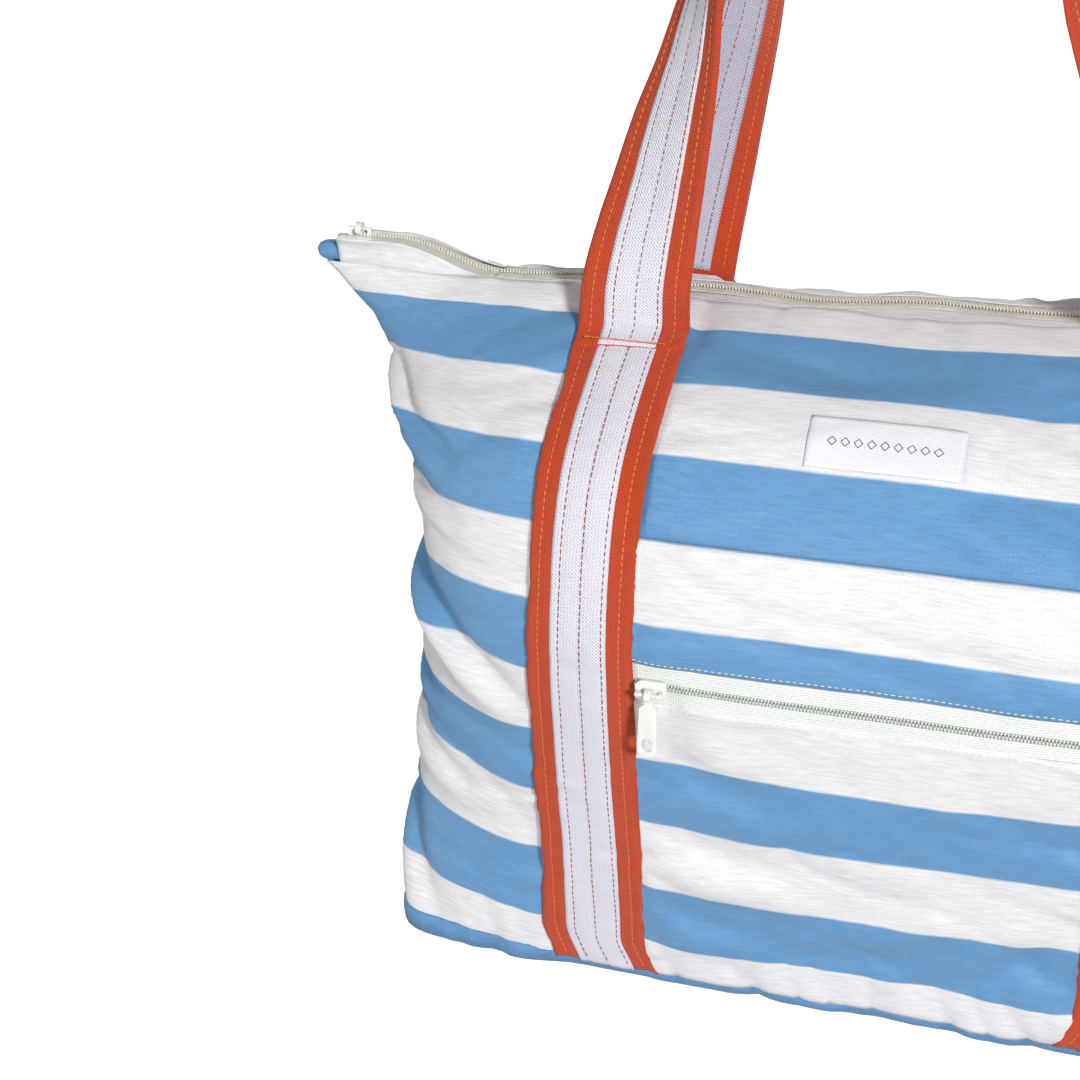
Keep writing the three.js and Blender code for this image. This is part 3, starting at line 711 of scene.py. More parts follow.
class Groups:
    """Shader node groups that several finishes share, each built once."""

    EDGE_WOBBLE = 0.0008
    THREAD_SCALE = 900.0
    THREAD_STRETCH = (0.1, 1.0, 1.0)
    CROSS_THREADS = 0.45
    made: dict[str, Tree] = {}

    @classmethod
    def get(cls, name: str) -> Tree:
        """The group of that name, built on first use."""
        if name not in cls.made:
            cls.made[name] = {"Weave": cls.weave, "Wear": cls.wear, "Stripes": cls.stripes}[name]()
        return cls.made[name]

    @staticmethod
    def start(name: str, inputs: dict[str, float], output: str, kind: str) -> tuple:
        """An empty group with a vector input, number inputs and one output."""
        tree = bpy.data.node_groups.new(name, "ShaderNodeTree")
        group_input(tree, "Vector", "NodeSocketVector")
        for key, value in inputs.items():
            socket = tree.interface.new_socket(name=key, in_out="INPUT", socket_type="NodeSocketFloat")
            socket.default_value = value
        tree.interface.new_socket(name=output, in_out="OUTPUT", socket_type=kind)
        return tree, tree.nodes.new("NodeGroupInput"), tree.nodes.new("NodeGroupOutput")

    @staticmethod
    def math(tree: Tree, operation: str, a, b=None, c=None) -> Socket:
        """The output of a math node with these inputs."""
        node = tree.nodes.new("ShaderNodeMath")
        node.operation = operation
        for slot, value in enumerate((a, b, c)):
            if isinstance(value, (int, float)):
                node.inputs[slot].default_value = value
            elif value is not None:
                tree.links.new(value, node.inputs[slot])
        return node.outputs[0]

    @classmethod
    def weave(cls) -> Tree:
        """Height of a twill weave: slanting ribs broken by the cross threads."""
        tree, given, out = cls.start("Weave", {"Pitch": 0.0009, "Slant": 1.0}, "Height", "NodeSocketFloat")
        axes = tree.nodes.new("ShaderNodeSeparateXYZ")
        tree.links.new(given.outputs["Vector"], axes.inputs[0])
        turn = cls.math(tree, "DIVIDE", 2 * math.pi, given.outputs["Pitch"])
        slanted = cls.math(tree, "MULTIPLY_ADD", axes.outputs[0], given.outputs["Slant"], axes.outputs[1])
        ribs = cls.math(tree, "SINE", cls.math(tree, "MULTIPLY", slanted, turn))
        cross = cls.math(tree, "SINE", cls.math(tree, "MULTIPLY", axes.outputs[0], turn))
        height = cls.math(tree, "MULTIPLY_ADD", cross, cls.CROSS_THREADS, ribs)
        tree.links.new(height, out.inputs[0])
        return tree

    @classmethod
    def wear(cls) -> Tree:
        """Soft uneven brightness, from broad cloudiness and fine threads."""
        sizes = {"Scale": 30.0, "Amount": 0.06, "Streak": 0.0}
        tree, given, out = cls.start("Wear", sizes, "Factor", "NodeSocketFloat")
        total = None
        for scale, share in ((1.0, 0.6), (7.0, 0.4)):
            noise = tree.nodes.new("ShaderNodeTexNoise")
            noise.inputs["Detail"].default_value = 3
            tree.links.new(given.outputs["Vector"], noise.inputs["Vector"])
            tree.links.new(cls.math(tree, "MULTIPLY", given.outputs["Scale"], scale), noise.inputs["Scale"])
            part = cls.math(tree, "MULTIPLY", cls.math(tree, "SUBTRACT", noise.outputs[0], 0.5), 2 * share)
            total = part if total is None else cls.math(tree, "ADD", total, part)
        stretch = tree.nodes.new("ShaderNodeVectorMath")
        stretch.operation = "MULTIPLY"
        stretch.inputs[1].default_value = cls.THREAD_STRETCH
        tree.links.new(given.outputs["Vector"], stretch.inputs[0])
        threads = tree.nodes.new("ShaderNodeTexNoise")
        threads.inputs["Scale"].default_value = cls.THREAD_SCALE
        tree.links.new(stretch.outputs[0], threads.inputs["Vector"])
        even = cls.math(tree, "SUBTRACT", threads.outputs[0], 0.5)
        streak = cls.math(tree, "MULTIPLY", even, given.outputs["Streak"])
        total = cls.math(tree, "ADD", total, streak)
        factor = cls.math(tree, "MULTIPLY_ADD", total, given.outputs["Amount"], 1.0)
        tree.links.new(factor, out.inputs[0])
        return tree

    @classmethod
    def stripes(cls) -> Tree:
        """Mask of the printed stripes by cloth height."""
        sizes = {"Start": 0.024, "Pitch": 0.037, "End": 0.357, "Softness": 9.0}
        tree, given, out = cls.start("Stripes", sizes, "Mask", "NodeSocketFloat")
        axes = tree.nodes.new("ShaderNodeSeparateXYZ")
        tree.links.new(given.outputs["Vector"], axes.inputs[0])
        wobble = tree.nodes.new("ShaderNodeTexNoise")
        wobble.inputs["Scale"].default_value = 60
        tree.links.new(given.outputs["Vector"], wobble.inputs["Vector"])
        stray = cls.math(tree, "SUBTRACT", wobble.outputs[0], 0.5)
        v = cls.math(tree, "MULTIPLY_ADD", stray, cls.EDGE_WOBBLE, axes.outputs[1])
        risen = cls.math(tree, "SUBTRACT", v, given.outputs["Start"])
        phase = cls.math(tree, "DIVIDE", risen, given.outputs["Pitch"])
        wave = cls.math(tree, "SINE", cls.math(tree, "MULTIPLY", phase, math.pi))
        mask = cls.math(tree, "MULTIPLY_ADD", wave, given.outputs["Softness"], 0.5)
        above = cls.math(tree, "GREATER_THAN", v, given.outputs["Start"])
        below = cls.math(tree, "LESS_THAN", v, given.outputs["End"])
        gate = cls.math(tree, "MULTIPLY", above, below)
        clamp = tree.nodes.new("ShaderNodeClamp")
        tree.links.new(mask, clamp.inputs[0])
        tree.links.new(cls.math(tree, "MULTIPLY", clamp.outputs[0], gate), out.inputs[0])
        return tree


@dataclass(frozen=True)
class Finish:
    """A surface: its colour, how it shines, how it is woven and how uneven it is."""

    name: str
    colour: Colour
    roughness: float = 0.8
    sheen: float = 0.0
    weave_pitch: float = 0.0
    weave_depth: float = 0.0
    slant: float = 1.0
    wear: float = 0.06
    wear_scale: float = 30.0
    streak: float = 0.0
    metallic: float = 0.0
    coat: float = 0.0
    glow: float = 0.0
    stripe_colour: Colour | None = None
    source: Coupling = Coupling.CLOTH

    def build(self) -> Material:
        """Makes the material."""
        material = bpy.data.materials.new(self.name)
        material.use_nodes = True
        tree = material.node_tree
        tree.nodes.clear()
        shader = tree.nodes.new("ShaderNodeBsdfPrincipled")
        out = tree.nodes.new("ShaderNodeOutputMaterial")
        tree.links.new(shader.outputs[0], out.inputs[0])
        shader.inputs["Roughness"].default_value = self.roughness
        shader.inputs["Metallic"].default_value = self.metallic
        shader.inputs["Sheen Weight"].default_value = self.sheen
        shader.inputs["Sheen Roughness"].default_value = 0.45
        shader.inputs["Coat Weight"].default_value = self.coat
        shader.inputs["Emission Color"].default_value = (1, 1, 1, 1)
        shader.inputs["Emission Strength"].default_value = self.glow
        vector = self.coordinates(tree)
        tree.links.new(self.colour_socket(tree, vector), shader.inputs["Base Color"])
        if self.weave_depth:
            weave = self.group(tree, "Weave", vector, Pitch=self.weave_pitch, Slant=self.slant)
            bump = tree.nodes.new("ShaderNodeBump")
            bump.inputs["Strength"].default_value = self.weave_depth
            bump.inputs["Distance"].default_value = 0.0002
            tree.links.new(weave, bump.inputs["Height"])
            tree.links.new(bump.outputs[0], shader.inputs["Normal"])
        return material

    def coordinates(self, tree: Tree) -> Socket:
        """The coordinates that the finish's patterns follow."""
        if self.source is Coupling.OBJECT:
            return tree.nodes.new("ShaderNodeTexCoord").outputs["Object"]
        node = tree.nodes.new("ShaderNodeUVMap")
        node.uv_map = Coupling.CLOTH.value
        return node.outputs[0]

    @staticmethod
    def group(tree: Tree, name: str, vector: Socket, **values: float) -> Socket:
        """Places a shared group with its own values and gives its output."""
        node = tree.nodes.new("ShaderNodeGroup")
        node.node_tree = Groups.get(name)
        tree.links.new(vector, node.inputs["Vector"])
        for key, value in values.items():
            node.inputs[key].default_value = value
        return node.outputs[0]

    def colour_socket(self, tree: Tree, vector: Socket) -> Socket:
        """Colour with its stripes and unevenness."""
        base: Socket | None = None
        if self.stripe_colour:
            mix = tree.nodes.new("ShaderNodeMix")
            mix.data_type = "RGBA"
            for socket in mix.inputs:
                if socket.type == "RGBA":
                    socket.default_value = (*(self.colour if socket.name == "A" else self.stripe_colour), 1)
            tree.links.new(self.group(tree, "Stripes", vector), mix.inputs[0])
            base = mix.outputs[2]
        factor = self.group(tree, "Wear", vector, Scale=self.wear_scale, Amount=self.wear, Streak=self.streak)
        tint = tree.nodes.new("ShaderNodeVectorMath")
        tint.operation = "SCALE"
        tint.inputs[0].default_value = self.colour
        if base is not None:
            tree.links.new(base, tint.inputs[0])
        tree.links.new(factor, tint.inputs["Scale"])
        return tint.outputs[0]


class Finishes:
    """Every finish of the bag."""

    WHITE: Colour = (0.80, 0.79, 0.81)
    BLUE: Colour = (0.125, 0.315, 0.565)
    RUST: Colour = (0.57, 0.053, 0.006)

    def __init__(self) -> None:
        """Builds the materials."""
        cloth = {"roughness": 0.5, "sheen": 0.15, "streak": 10.0, "weave_pitch": 0.0011, "weave_depth": 0.35}
        self.striped = Finish("striped_cloth", self.WHITE, stripe_colour=self.BLUE, wear=0.05,
                              **cloth).build()
        self.white = Finish("white_cloth", self.WHITE, wear=0.05, **cloth).build()
        self.blue = Finish("blue_cloth", (0.11, 0.28, 0.52), **cloth).build()
        self.webbing = Finish("rust_webbing", self.RUST, roughness=0.8, sheen=0.2, weave_pitch=0.0016,
                              weave_depth=0.9, slant=0.8, wear=0.16, wear_scale=60).build()
        self.band = Finish("white_band", (0.78, 0.77, 0.86), roughness=0.75, sheen=0.15, weave_pitch=0.0016,
                           weave_depth=0.8, slant=0.8, wear=0.06).build()
        # Painted shade: a darker copy of the white band, standing in for the shadow on the handles' inner
        # faces.
        self.shaded_band = Finish("inner_band", (0.55, 0.54, 0.66), roughness=0.8, weave_pitch=0.0016,
                                  weave_depth=0.8, slant=0.8, wear=0.08).build()
        self.main_tape = Finish("main_zip_tape", (0.90, 0.88, 0.77), roughness=0.85, weave_pitch=0.0012,
                                weave_depth=0.8, slant=0.0, wear=0.08).build()
        self.pocket_tape = Finish("pocket_zip_tape", (0.90, 0.93, 0.89), roughness=0.8, weave_pitch=0.0012,
                                  weave_depth=0.7, slant=0.0, wear=0.05).build()
        self.main_teeth = Finish("main_zip_teeth", (0.90, 0.88, 0.78), roughness=0.42, wear=0.08,
                                 wear_scale=300, source=Coupling.OBJECT).build()
        self.pocket_teeth = Finish("pocket_zip_teeth", (0.66, 0.70, 0.65), roughness=0.4, wear=0.08,
                                   wear_scale=300, source=Coupling.OBJECT).build()
        self.thread = Finish("rust_thread", (0.30, 0.07, 0.02), roughness=0.7, wear=0.15, wear_scale=400,
                             source=Coupling.OBJECT).build()
        self.bright_thread = Finish("orange_thread", (0.76, 0.20, 0.045), roughness=0.7, wear=0.15,
                                    wear_scale=400, source=Coupling.OBJECT).build()
        self.white_thread = Finish("white_thread", (0.84, 0.84, 0.86), roughness=0.7, wear=0.1,
                                   wear_scale=400, source=Coupling.OBJECT).build()
        self.dark_thread = Finish("dark_thread", (0.03, 0.035, 0.05), roughness=0.7, wear=0.1,
                                  wear_scale=400, source=Coupling.OBJECT).build()
        self.enamel = Finish("zip_enamel", (0.84, 0.85, 0.80), roughness=0.28, wear=0.05, wear_scale=120,
                             coat=0.4, source=Coupling.OBJECT).build()
        self.label = Finish("label_cloth", (0.84, 0.845, 0.90), roughness=0.7, weave_pitch=0.0009,
                            weave_depth=0.4, slant=0.0, wear=0.03).build()
        self.lining = Finish("lining_cloth", (0.72, 0.70, 0.66), roughness=0.85, weave_pitch=0.0011,
                             weave_depth=0.4, slant=0.0, wear=0.08).build()
        self.board = Finish("base_board", (0.27, 0.21, 0.15), roughness=0.9, wear=0.2, wear_scale=80,
                            source=Coupling.OBJECT).build()


def dress(obj: Piece, material: Material) -> Piece:
    """Gives a piece one material."""
    obj.data.materials.clear()
    obj.data.materials.append(material)
    return obj


def settle(obj: Piece, body: str, slot: str, *nodes: str) -> Piece:
    """Rides a piece on a body, hides the CAD nodes that it stands for, and reports it."""
    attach(obj, body)
    if nodes:
        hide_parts(*nodes)
    LOG.info("piece %s on %s, %d faces", obj.name, body, len(obj.data.polygons))
    return obj


# ---------------------------------------------------------------- sub-assemblies


@dataclass
class BodyShell:
    """The striped panels, side seams, base, linings and facings."""

    skin: Skin
    finishes: Finishes
    thickness: float = 0.9
    seam_rows: float = 2.5
    seam_sink: float = 0.3
    seam_ridge: float = 1.1
    seam_thickness: float = 0.9
    roof_level: float = 2.0
    roof_share: float = 0.97
    rim_step: float = 5.0
    rim_heights: tuple[float, ...] = (0.0, 0.0, 1.2, 3.0, 5.5, 7.6, 8.4, 8.6)
    rim_offsets: tuple[float, ...] = (-2.0, 0.2, 1.1, 1.3, 1.3, 1.2, 0.9, 0.1)

    def build(self) -> None:
        """Makes and dresses every piece of the shell."""
        for name, side in (("front", Side.FRONT), ("back", Side.BACK)):
            self.panel(name, side)
            self.lining(name, side)
            self.facing(name, side)
        for hand in Hand:
            self.side_seam(hand)
        self.base()
        self.inner()

    def panel(self, name: str, side: Side) -> None:
        """One striped body panel."""
        shape = self.skin.shape
        layer = ClothLayer(name + "_panel_cloth", side, (-shape.cloth_half, shape.cloth_half),
                           (0, shape.height), -self.thickness, 0.0, step=2.8)
        piece = dress(layer.build(self.skin), self.finishes.striped)
        settle(piece, "bag", "blue_cloth", name + "_panel")

    def lining(self, name: str, side: Side) -> None:
        """The lining inside one panel."""
        layer = ClothLayer(name + "_lining_cloth", side, (-278, 278), (8, 338), -7.6, -6.6,
                           step=8, inside=True)
        piece = dress(layer.build(self.skin), self.finishes.lining)
        settle(piece, "bag", "lining_cloth", "lining_" + name)

    def facing(self, name: str, side: Side) -> None:
        """The turned-in strip at the mouth."""
        layer = ClothLayer(name + "_facing_cloth", side, (-257, 257), (340, 374), -5.0, -4.0,
                           step=5, inside=True)
        piece = dress(layer.build(self.skin), self.finishes.white)
        settle(piece, "bag", "white_cloth", "top_facing_" + name)

    def side_seam(self, hand: Hand) -> None:
        """The joined edges of both panels down one side, as a narrow rounded ridge."""
        shape = self.skin.shape
        t = span(0, shape.height, self.seam_rows)
        edge = hand.value * shape.cloth_half
        front = self.skin.at(Side.FRONT, np.full(t.shape, edge), t, -self.seam_sink)
        back = self.skin.at(Side.BACK, np.full(t.shape, edge), t, -self.seam_sink)
        shares = np.linspace(0, 1, 7)
        bulge = self.seam_ridge * np.sin(np.pi * shares)
        outer = front[:, None] + (back - front)[:, None] * shares[None, :, None]
        inner = outer.copy()
        outer[..., 0] += hand.value * bulge[None, :]
        inner[..., 0] -= hand.value * self.seam_thickness
        uv = np.stack(np.broadcast_arrays(edge + shares[None, :] * 6, t[:, None]), -1)
        piece = closed_sheet(f"side_seam_cloth_{hand.name.lower()}", outer, inner, uv, hand is Hand.LEFT)
        dress(piece, self.finishes.striped)
        settle(piece, "bag", "white_cloth", f"side_seam_{hand.name.lower()}")

    def rim(self) -> Array:
        """Rings of points from under the base up over its edge, outermost cloth first."""
        half = self.skin.shape.cloth_half
        s = span(-half, half, self.rim_step)
        rings = []
        for t, out in zip(self.rim_heights, self.rim_offsets):
            corner = smooth(np.abs(s), 190, 285)
            wave = 0.6 - 0.3 * corner + 0.12 * cloth_noise(s / 22, t / 20, 90)
            front = self.skin.at(Side.FRONT, s, t * wave, out)
            back = self.skin.at(Side.BACK, s[::-1], t * wave, out)
            rings.append(np.concatenate([front, back]))
        for ring in rings[:2]:
            ring[:, 2] = LOWEST_CLOTH
        return np.stack(rings)

    def base(self) -> None:
        """The blue base: a flat bottom whose edge turns up over the panels."""
        net = self.rim()
        rows, count = net.shape[:2]
        roof = net[-1].copy()
        roof[:, 2] = self.roof_level
        roof[:, :2] *= self.roof_share
        middles = np.array([[0.0, 0.0, LOWEST_CLOTH], [0.0, 0.0, self.roof_level]])
        points = np.concatenate([net.reshape(-1, 3), roof, middles])
        bottom, top = (rows + 1) * count, (rows + 1) * count + 1
        faces: list[tuple[int, ...]] = []
        for i in range(rows):
            for j in range(count):
                k = (j + 1) % count
                faces.append((i * count + j, i * count + k, (i + 1) * count + k, (i + 1) * count + j))
        for j in range(count):
            k = (j + 1) % count
            faces.append((bottom, k, j))
            faces.append((top, rows * count + j, rows * count + k))
        piece = dress(mesh_object("base_cloth", points, faces, points[:, :2]), self.finishes.blue)
        settle(piece, "bag", "blue_cloth", "base_panel")

    def inner(self) -> None:
        """Dresses the pieces inside that keep their CAD shape."""
        for node, material in (("base_board", self.finishes.board), ("lining_base", self.finishes.lining)):
            dress(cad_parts[node], material)
            LOG.info("dressed %s", node)
        for name, node, side, s_half, t_span, low, high in (
            ("slip_pocket_cloth", "inner_pocket", Side.BACK, 95, (150, 270), -9.4, -8.4),
            ("pocket_bag_cloth", "pocket_bag", Side.FRONT, 100, (24, 240), -5.6, -4.8),
        ):
            layer = ClothLayer(name, side, (-s_half, s_half), t_span, low, high, step=6, inside=True)
            settle(dress(layer.build(self.skin), self.finishes.lining), "bag", "lining_cloth", node)


@dataclass
class Straps:
    """The four sewn straps: rust webbing with a white band and rows of stitches."""

    skin: Skin
    finishes: Finishes
    width: float = 52.0
    band: float = 27.5
    foot: float = 3.0
    head: float = 342.0
    rows: tuple[float, ...] = (-20.0, -9.4, 1.0, 11.6, 19.6)
    pitch: float = 3.3

    def build(self) -> None:
        """Makes and dresses every strap."""
        for face, side in (("front", Side.FRONT), ("back", Side.BACK)):
            for hand in Hand:
                self.strap(face, side, hand)

    def centre(self, hand: Hand) -> Callable[[Array], Array]:
        """The strap's centre line as a function of cloth height."""
        return lambda t: hand.value * self.skin.relief.strap_centre(t)

    def strap(self, face: str, side: Side, hand: Hand) -> None:
        """One strap with its band and stitches."""
        name = f"{face}_{hand.name.lower()}"
        seed = 200 + 10 * side.value + hand.value

        def quilt(s: Array, t: Array) -> Array:
            """Small swells between the rows of stitches and along the edges."""
            ripple = 0.5 * cloth_noise(t / 5, s / 9, seed) * (0.4 + 0.6 * smooth(200 - t, 0, 120))
            return ripple + 0.5 * cloth_noise(t / 24, s / 30, seed + 1)

        def sunk(s: Array, t: Array) -> Array:
            """The webbing's swells with a groove under each row of stitches."""
            grooves = sum(np.exp(-(((s - row) / 1.1) ** 2)) for row in self.rows)
            return quilt(s, t) - 0.5 * grooves

        half = self.width / 2
        common = {"side": side, "t_span": (self.foot, self.head), "centre": self.centre(hand)}
        webbing = ClothLayer("strap_webbing_" + name, s_span=(-half, half), low=1.5, high=3.4,
                             step=2.0, edge_roll=2.0, lift=sunk, **common).build(self.skin)
        settle(dress(webbing, self.finishes.webbing), "bag", "rust_webbing", "strap_" + name)
        band_half = self.band / 2
        band = ClothLayer("strap_band_cloth_" + name, s_span=(-band_half, band_half), low=3.3, high=4.1,
                          step=1.7, edge_roll=1.4, lift=sunk, **common).build(self.skin)
        settle(dress(band, self.finishes.band), "bag", "white_band", "strap_band_" + name)
        self.stitches(name, side, hand, quilt)

    def stitches(self, name: str, side: Side, hand: Hand, quilt: Callable[[Array, Array], Array]) -> None:
        """The rows of rust stitches down one strap."""
        runs = {True: Run(), False: Run()}
        t = span(self.foot + 3, self.head - 1, 1.5)
        for row in self.rows:
            on_band = abs(row) < self.band / 2
            raised = 3.95 if on_band else 3.3
            s = row + self.centre(hand)(t) + 0.25 * cloth_noise(t / 30, np.full(t.shape, row), 5)
            out = raised + quilt(np.full(t.shape, row), t) - 0.25
            path = self.skin.at(side, s, t, out)
            runs[on_band].add_path(path, self.skin.normal(side, s, t), self.pitch)
        for on_band, label, thread in ((True, "strap_stitches_", self.finishes.thread),
                                       (False, "strap_edge_stitches_", self.finishes.bright_thread)):
            piece = Repeater(*WEBBING_STITCH, thread, 3).build(label + name, runs[on_band])
            settle(piece, "bag", "rust_webbing")


@dataclass
class Handle:
    """One free arch of doubled webbing with white bands and stitches on both faces."""

    skin: Skin
    finishes: Finishes
    side: Side
    rise: float = 264.0
    apex: float = 31.0
    lean_in: float = 66.0
    sway: float = 0.13
    sway_start: float = 22.0
    bow: float = 7.5
    twist: tuple[float, float] = (0.0, 0.37)
    foot_gap: float = 7.0
    foot_offset: float = 4.8
    strap_head: float = 341.0
    half: float = 26.0
    band_half: float = 13.7
    skin_half: float = 1.6
    rows: tuple[float, ...] = (-20.0, -9.4, 1.0, 11.6, 19.6)
    step: float = 3.0
    pitch: float = 3.3

    @property
    def label(self) -> str:
        """front or back."""
        return self.side.name.lower()

    def legs(self) -> Array:
        """Points of the right half of the centre line, from the foot to the top."""
        offset = float(self.skin.relief.strap_centre(np.array(self.strap_head)))
        foot = self.skin.at(self.side, np.array(offset), np.array(self.strap_head + self.foot_gap),
                            self.foot_offset - self.skin_half)
        x, y, z = foot[0], abs(foot[1]), foot[2]
        top, bend = z + self.rise, x - self.lean_in
        return np.array([
            (x, y, z), (x - 2, y + 3, z + self.sway_start), (x - 20, y - 5, z + 75),
            (x - 45, y - 13, z + 140), (bend, self.apex + 3, z + 205),
            (bend * 0.62, self.apex, top - 16), (0, self.apex, top),
        ])

    def path(self) -> Array:
        """The whole centre line, evenly stepped, from the left foot to the right foot."""
        legs = self.legs()
        knots = np.concatenate([legs * (-1, 1, 1), legs[-2::-1]]) * (1, self.side.value, 1)
        rise = knots[:, 2] - legs[0, 2]
        knots[:, 0] -= self.sway * np.maximum(rise - self.sway_start, 0)
        if self.side is Side.FRONT:
            left = slice(0, len(legs) - 1)
            knots[left, 0] -= self.bow * np.sin(np.pi * np.clip(rise[left] / self.rise, 0, 1) ** 1.7)
        gaps = np.linalg.norm(np.diff(knots, axis=0), axis=1) ** 0.5
        times = np.concatenate([[0], np.cumsum(gaps)])
        slopes = np.gradient(knots, times, axis=0)
        fine = []
        for k in range(len(knots) - 1):
            h = times[k + 1] - times[k]
            f = np.linspace(0, 1, 60, endpoint=k == len(knots) - 2)[:, None]
            fine.append((2 * f**3 - 3 * f**2 + 1) * knots[k] + (f**3 - 2 * f**2 + f) * h * slopes[k]
                        + (3 * f**2 - 2 * f**3) * knots[k + 1] + (f**3 - f**2) * h * slopes[k + 1])
        line = np.concatenate(fine)
        lengths = np.concatenate([[0], np.cumsum(np.linalg.norm(np.diff(line, axis=0), axis=1))])
        where = np.linspace(0, lengths[-1], int(lengths[-1] / self.step) + 1)
        return np.stack([np.interp(where, lengths, line[:, k]) for k in range(3)], -1)

    def frames(self) -> tuple[Array, Array, Array]:
        """Centre points, width directions and outward directions along the arch, from strap to strap."""
        centre = self.path()
        u = np.linspace(0, 1, len(centre))
        start, end = self.twist
        turn = np.clip((np.minimum(u, 1 - u) - start) / (end - start), 0, 1) * (np.pi / 2)
        angle = np.where(u < 0.5, turn, np.pi - turn)
        wide = np.stack([np.cos(angle), self.side.value * np.sin(angle), np.zeros(len(u))], -1)
        tails = []
        for hand in (Hand.LEFT, Hand.RIGHT):
            t = np.array([self.strap_head - 6, self.strap_head - 3, self.strap_head, self.strap_head + 2.5])
            s = hand.value * self.skin.relief.strap_centre(t)
            out = np.array([2.9, 3.1, 3.4, 3.6])
            points = self.skin.at(self.side, s, t, out)
            across = unit(self.skin.at(self.side, s + 8, t, out) - self.skin.at(self.side, s - 8, t, out))
            tails.append((points, across if hand is Hand.LEFT else -across))
        centre = np.concatenate([tails[0][0], centre, tails[1][0][::-1]])
        wide = np.concatenate([tails[0][1], wide, tails[1][1][::-1]])
        for _ in range(2):
            centre[1:-1] = (centre[:-2] + 2 * centre[1:-1] + centre[2:]) / 4
            wide[1:-1] = (wide[:-2] + 2 * wide[1:-1] + wide[2:]) / 4
        along = unit(np.gradient(centre, axis=0))
        wide = unit(wide - along * np.sum(wide * along, -1, keepdims=True))
        normal = np.cross(wide, along) * -self.side.value
        return centre, wide, normal

    def surface(self, w: Array, out: Array | float) -> Array:
        """Points on the ribbon: widths across it, lifted from its middle surface."""
        centre, wide, normal = self.frames()
        along = np.arange(len(centre))[:, None]
        ripple = 0.5 * cloth_noise(along * self.step / 26, w[None, :] / 30, 300 + self.side.value)
        ripple = ripple + 0.25 * cloth_noise(along * self.step / 9, w[None, :] / 10, 310 + self.side.value)
        grooves = sum(np.exp(-(((w[None, :] - row) / 1.2) ** 2)) for row in self.rows)
        lift = np.asarray(out) - 0.3 * grooves * np.sign(out) + ripple
        sideways = self.side.value * w[None, :, None] * wide[:, None]
        return centre[:, None] - sideways + lift[..., None] * normal[:, None]

    def ribbon(self, name: str, half: float, low: float, high: float, trim: int) -> Piece:
        """A ribbon along the arch between two offsets, drawn in at both ends."""
        w = span(-half, half, 2.0)
        away = np.clip((half - np.abs(w)) / 1.6, 0, 1)
        soft = (0.45 + 0.55 * np.sqrt(1 - (1 - away) ** 2))[None, :]
        middle = (low + high) / 2
        nets = []
        for offset in (high, low):
            outwards = abs(offset) > abs(middle) or low * high < 0
            level = middle + (offset - middle) * soft if outwards else np.full(soft.shape, offset)
            nets.append(self.surface(w, level)[trim:-trim if trim else None])
        lengths = np.arange(len(nets[0])) * self.step
        uv = np.stack(np.broadcast_arrays(w[None, :], lengths[:, None]), -1)
        return closed_sheet(name, nets[0], nets[1], uv)

    def build(self) -> None:
        """Makes and dresses the arch."""
        half = self.skin_half
        pieces = [
            (self.ribbon(f"handle_webbing_{self.label}", self.half, -half, half, 0), self.finishes.webbing,
             "rust_webbing", ["handle_" + self.label]),
            (self.ribbon(f"handle_band_cloth_{self.label}", self.band_half, half - 0.1, half + 0.8, 0),
             self.finishes.band, "white_band", ["handle_band_" + self.label]),
            # The band on the inner face wears the darker copy of the band finish: painted shade.
            (self.ribbon(f"handle_inner_band_cloth_{self.label}", self.band_half, -half - 0.8,
                         -half + 0.1, 6),
             self.finishes.shaded_band, "white_band", ["handle_inner_band_" + self.label]),
        ]
        for on_band, thread in ((True, self.finishes.thread), (False, self.finishes.bright_thread)):
            pieces.append((self.stitches(on_band, thread), thread, "rust_webbing", []))
        foot = self.legs()[0]
        for piece, material, slot, nodes in pieces:
            dress(piece, material)
            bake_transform(piece)
            if nodes:
                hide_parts(*nodes)

    def stitches(self, on_band: bool, thread: Material) -> Piece:
        """Rows of stitches on both faces of the arch, on the white band or on its rust borders."""
        run = Run()
        for row in self.rows:
            if (abs(row) < self.band_half) != on_band:
                continue
            raised = self.skin_half + (0.75 if on_band else 0.05)
            for face in (1, -1):
                w = np.array([row - 0.5, row, row + 0.5])
                net = self.surface(w, np.full((1, 3), face * (raised + 0.1)))
                trim = 1 if face > 0 else 7
                facing = self.frames()[2] * face
                run.add_path(net[trim:-trim, 1], facing[trim:-trim], self.pitch)
        label = "handle_stitches_" if on_band else "handle_edge_stitches_"
        return Repeater(*WEBBING_STITCH, thread, 4).build(label + self.label, run)


@dataclass
class BarStitches:
    """The bright row sewn across each strap where the handle leaves it."""

    skin: Skin
    finishes: Finishes
    level: float = 336.2
    reach: tuple[float, float] = (-21.0, 19.0)
    raised: float = 6.6

    def build(self) -> None:
        """Makes the rows on both faces."""
        for side in Side:
            run = Run()
            for hand in Hand:
                w = span(*self.reach, 1.0)
                t = np.full(w.shape, self.level)
                s = w + hand.value * self.skin.relief.strap_centre(t)
                path = self.skin.at(side, s, t, self.raised)
                run.add_path(path, self.skin.normal(side, s, t), BAR_STITCH[0])
            name = "bar_stitches_" + side.name.lower()
            piece = Repeater(*BAR_STITCH, self.finishes.bright_thread, 6).build(name, run)
            settle(piece, "bag", "rust_webbing")


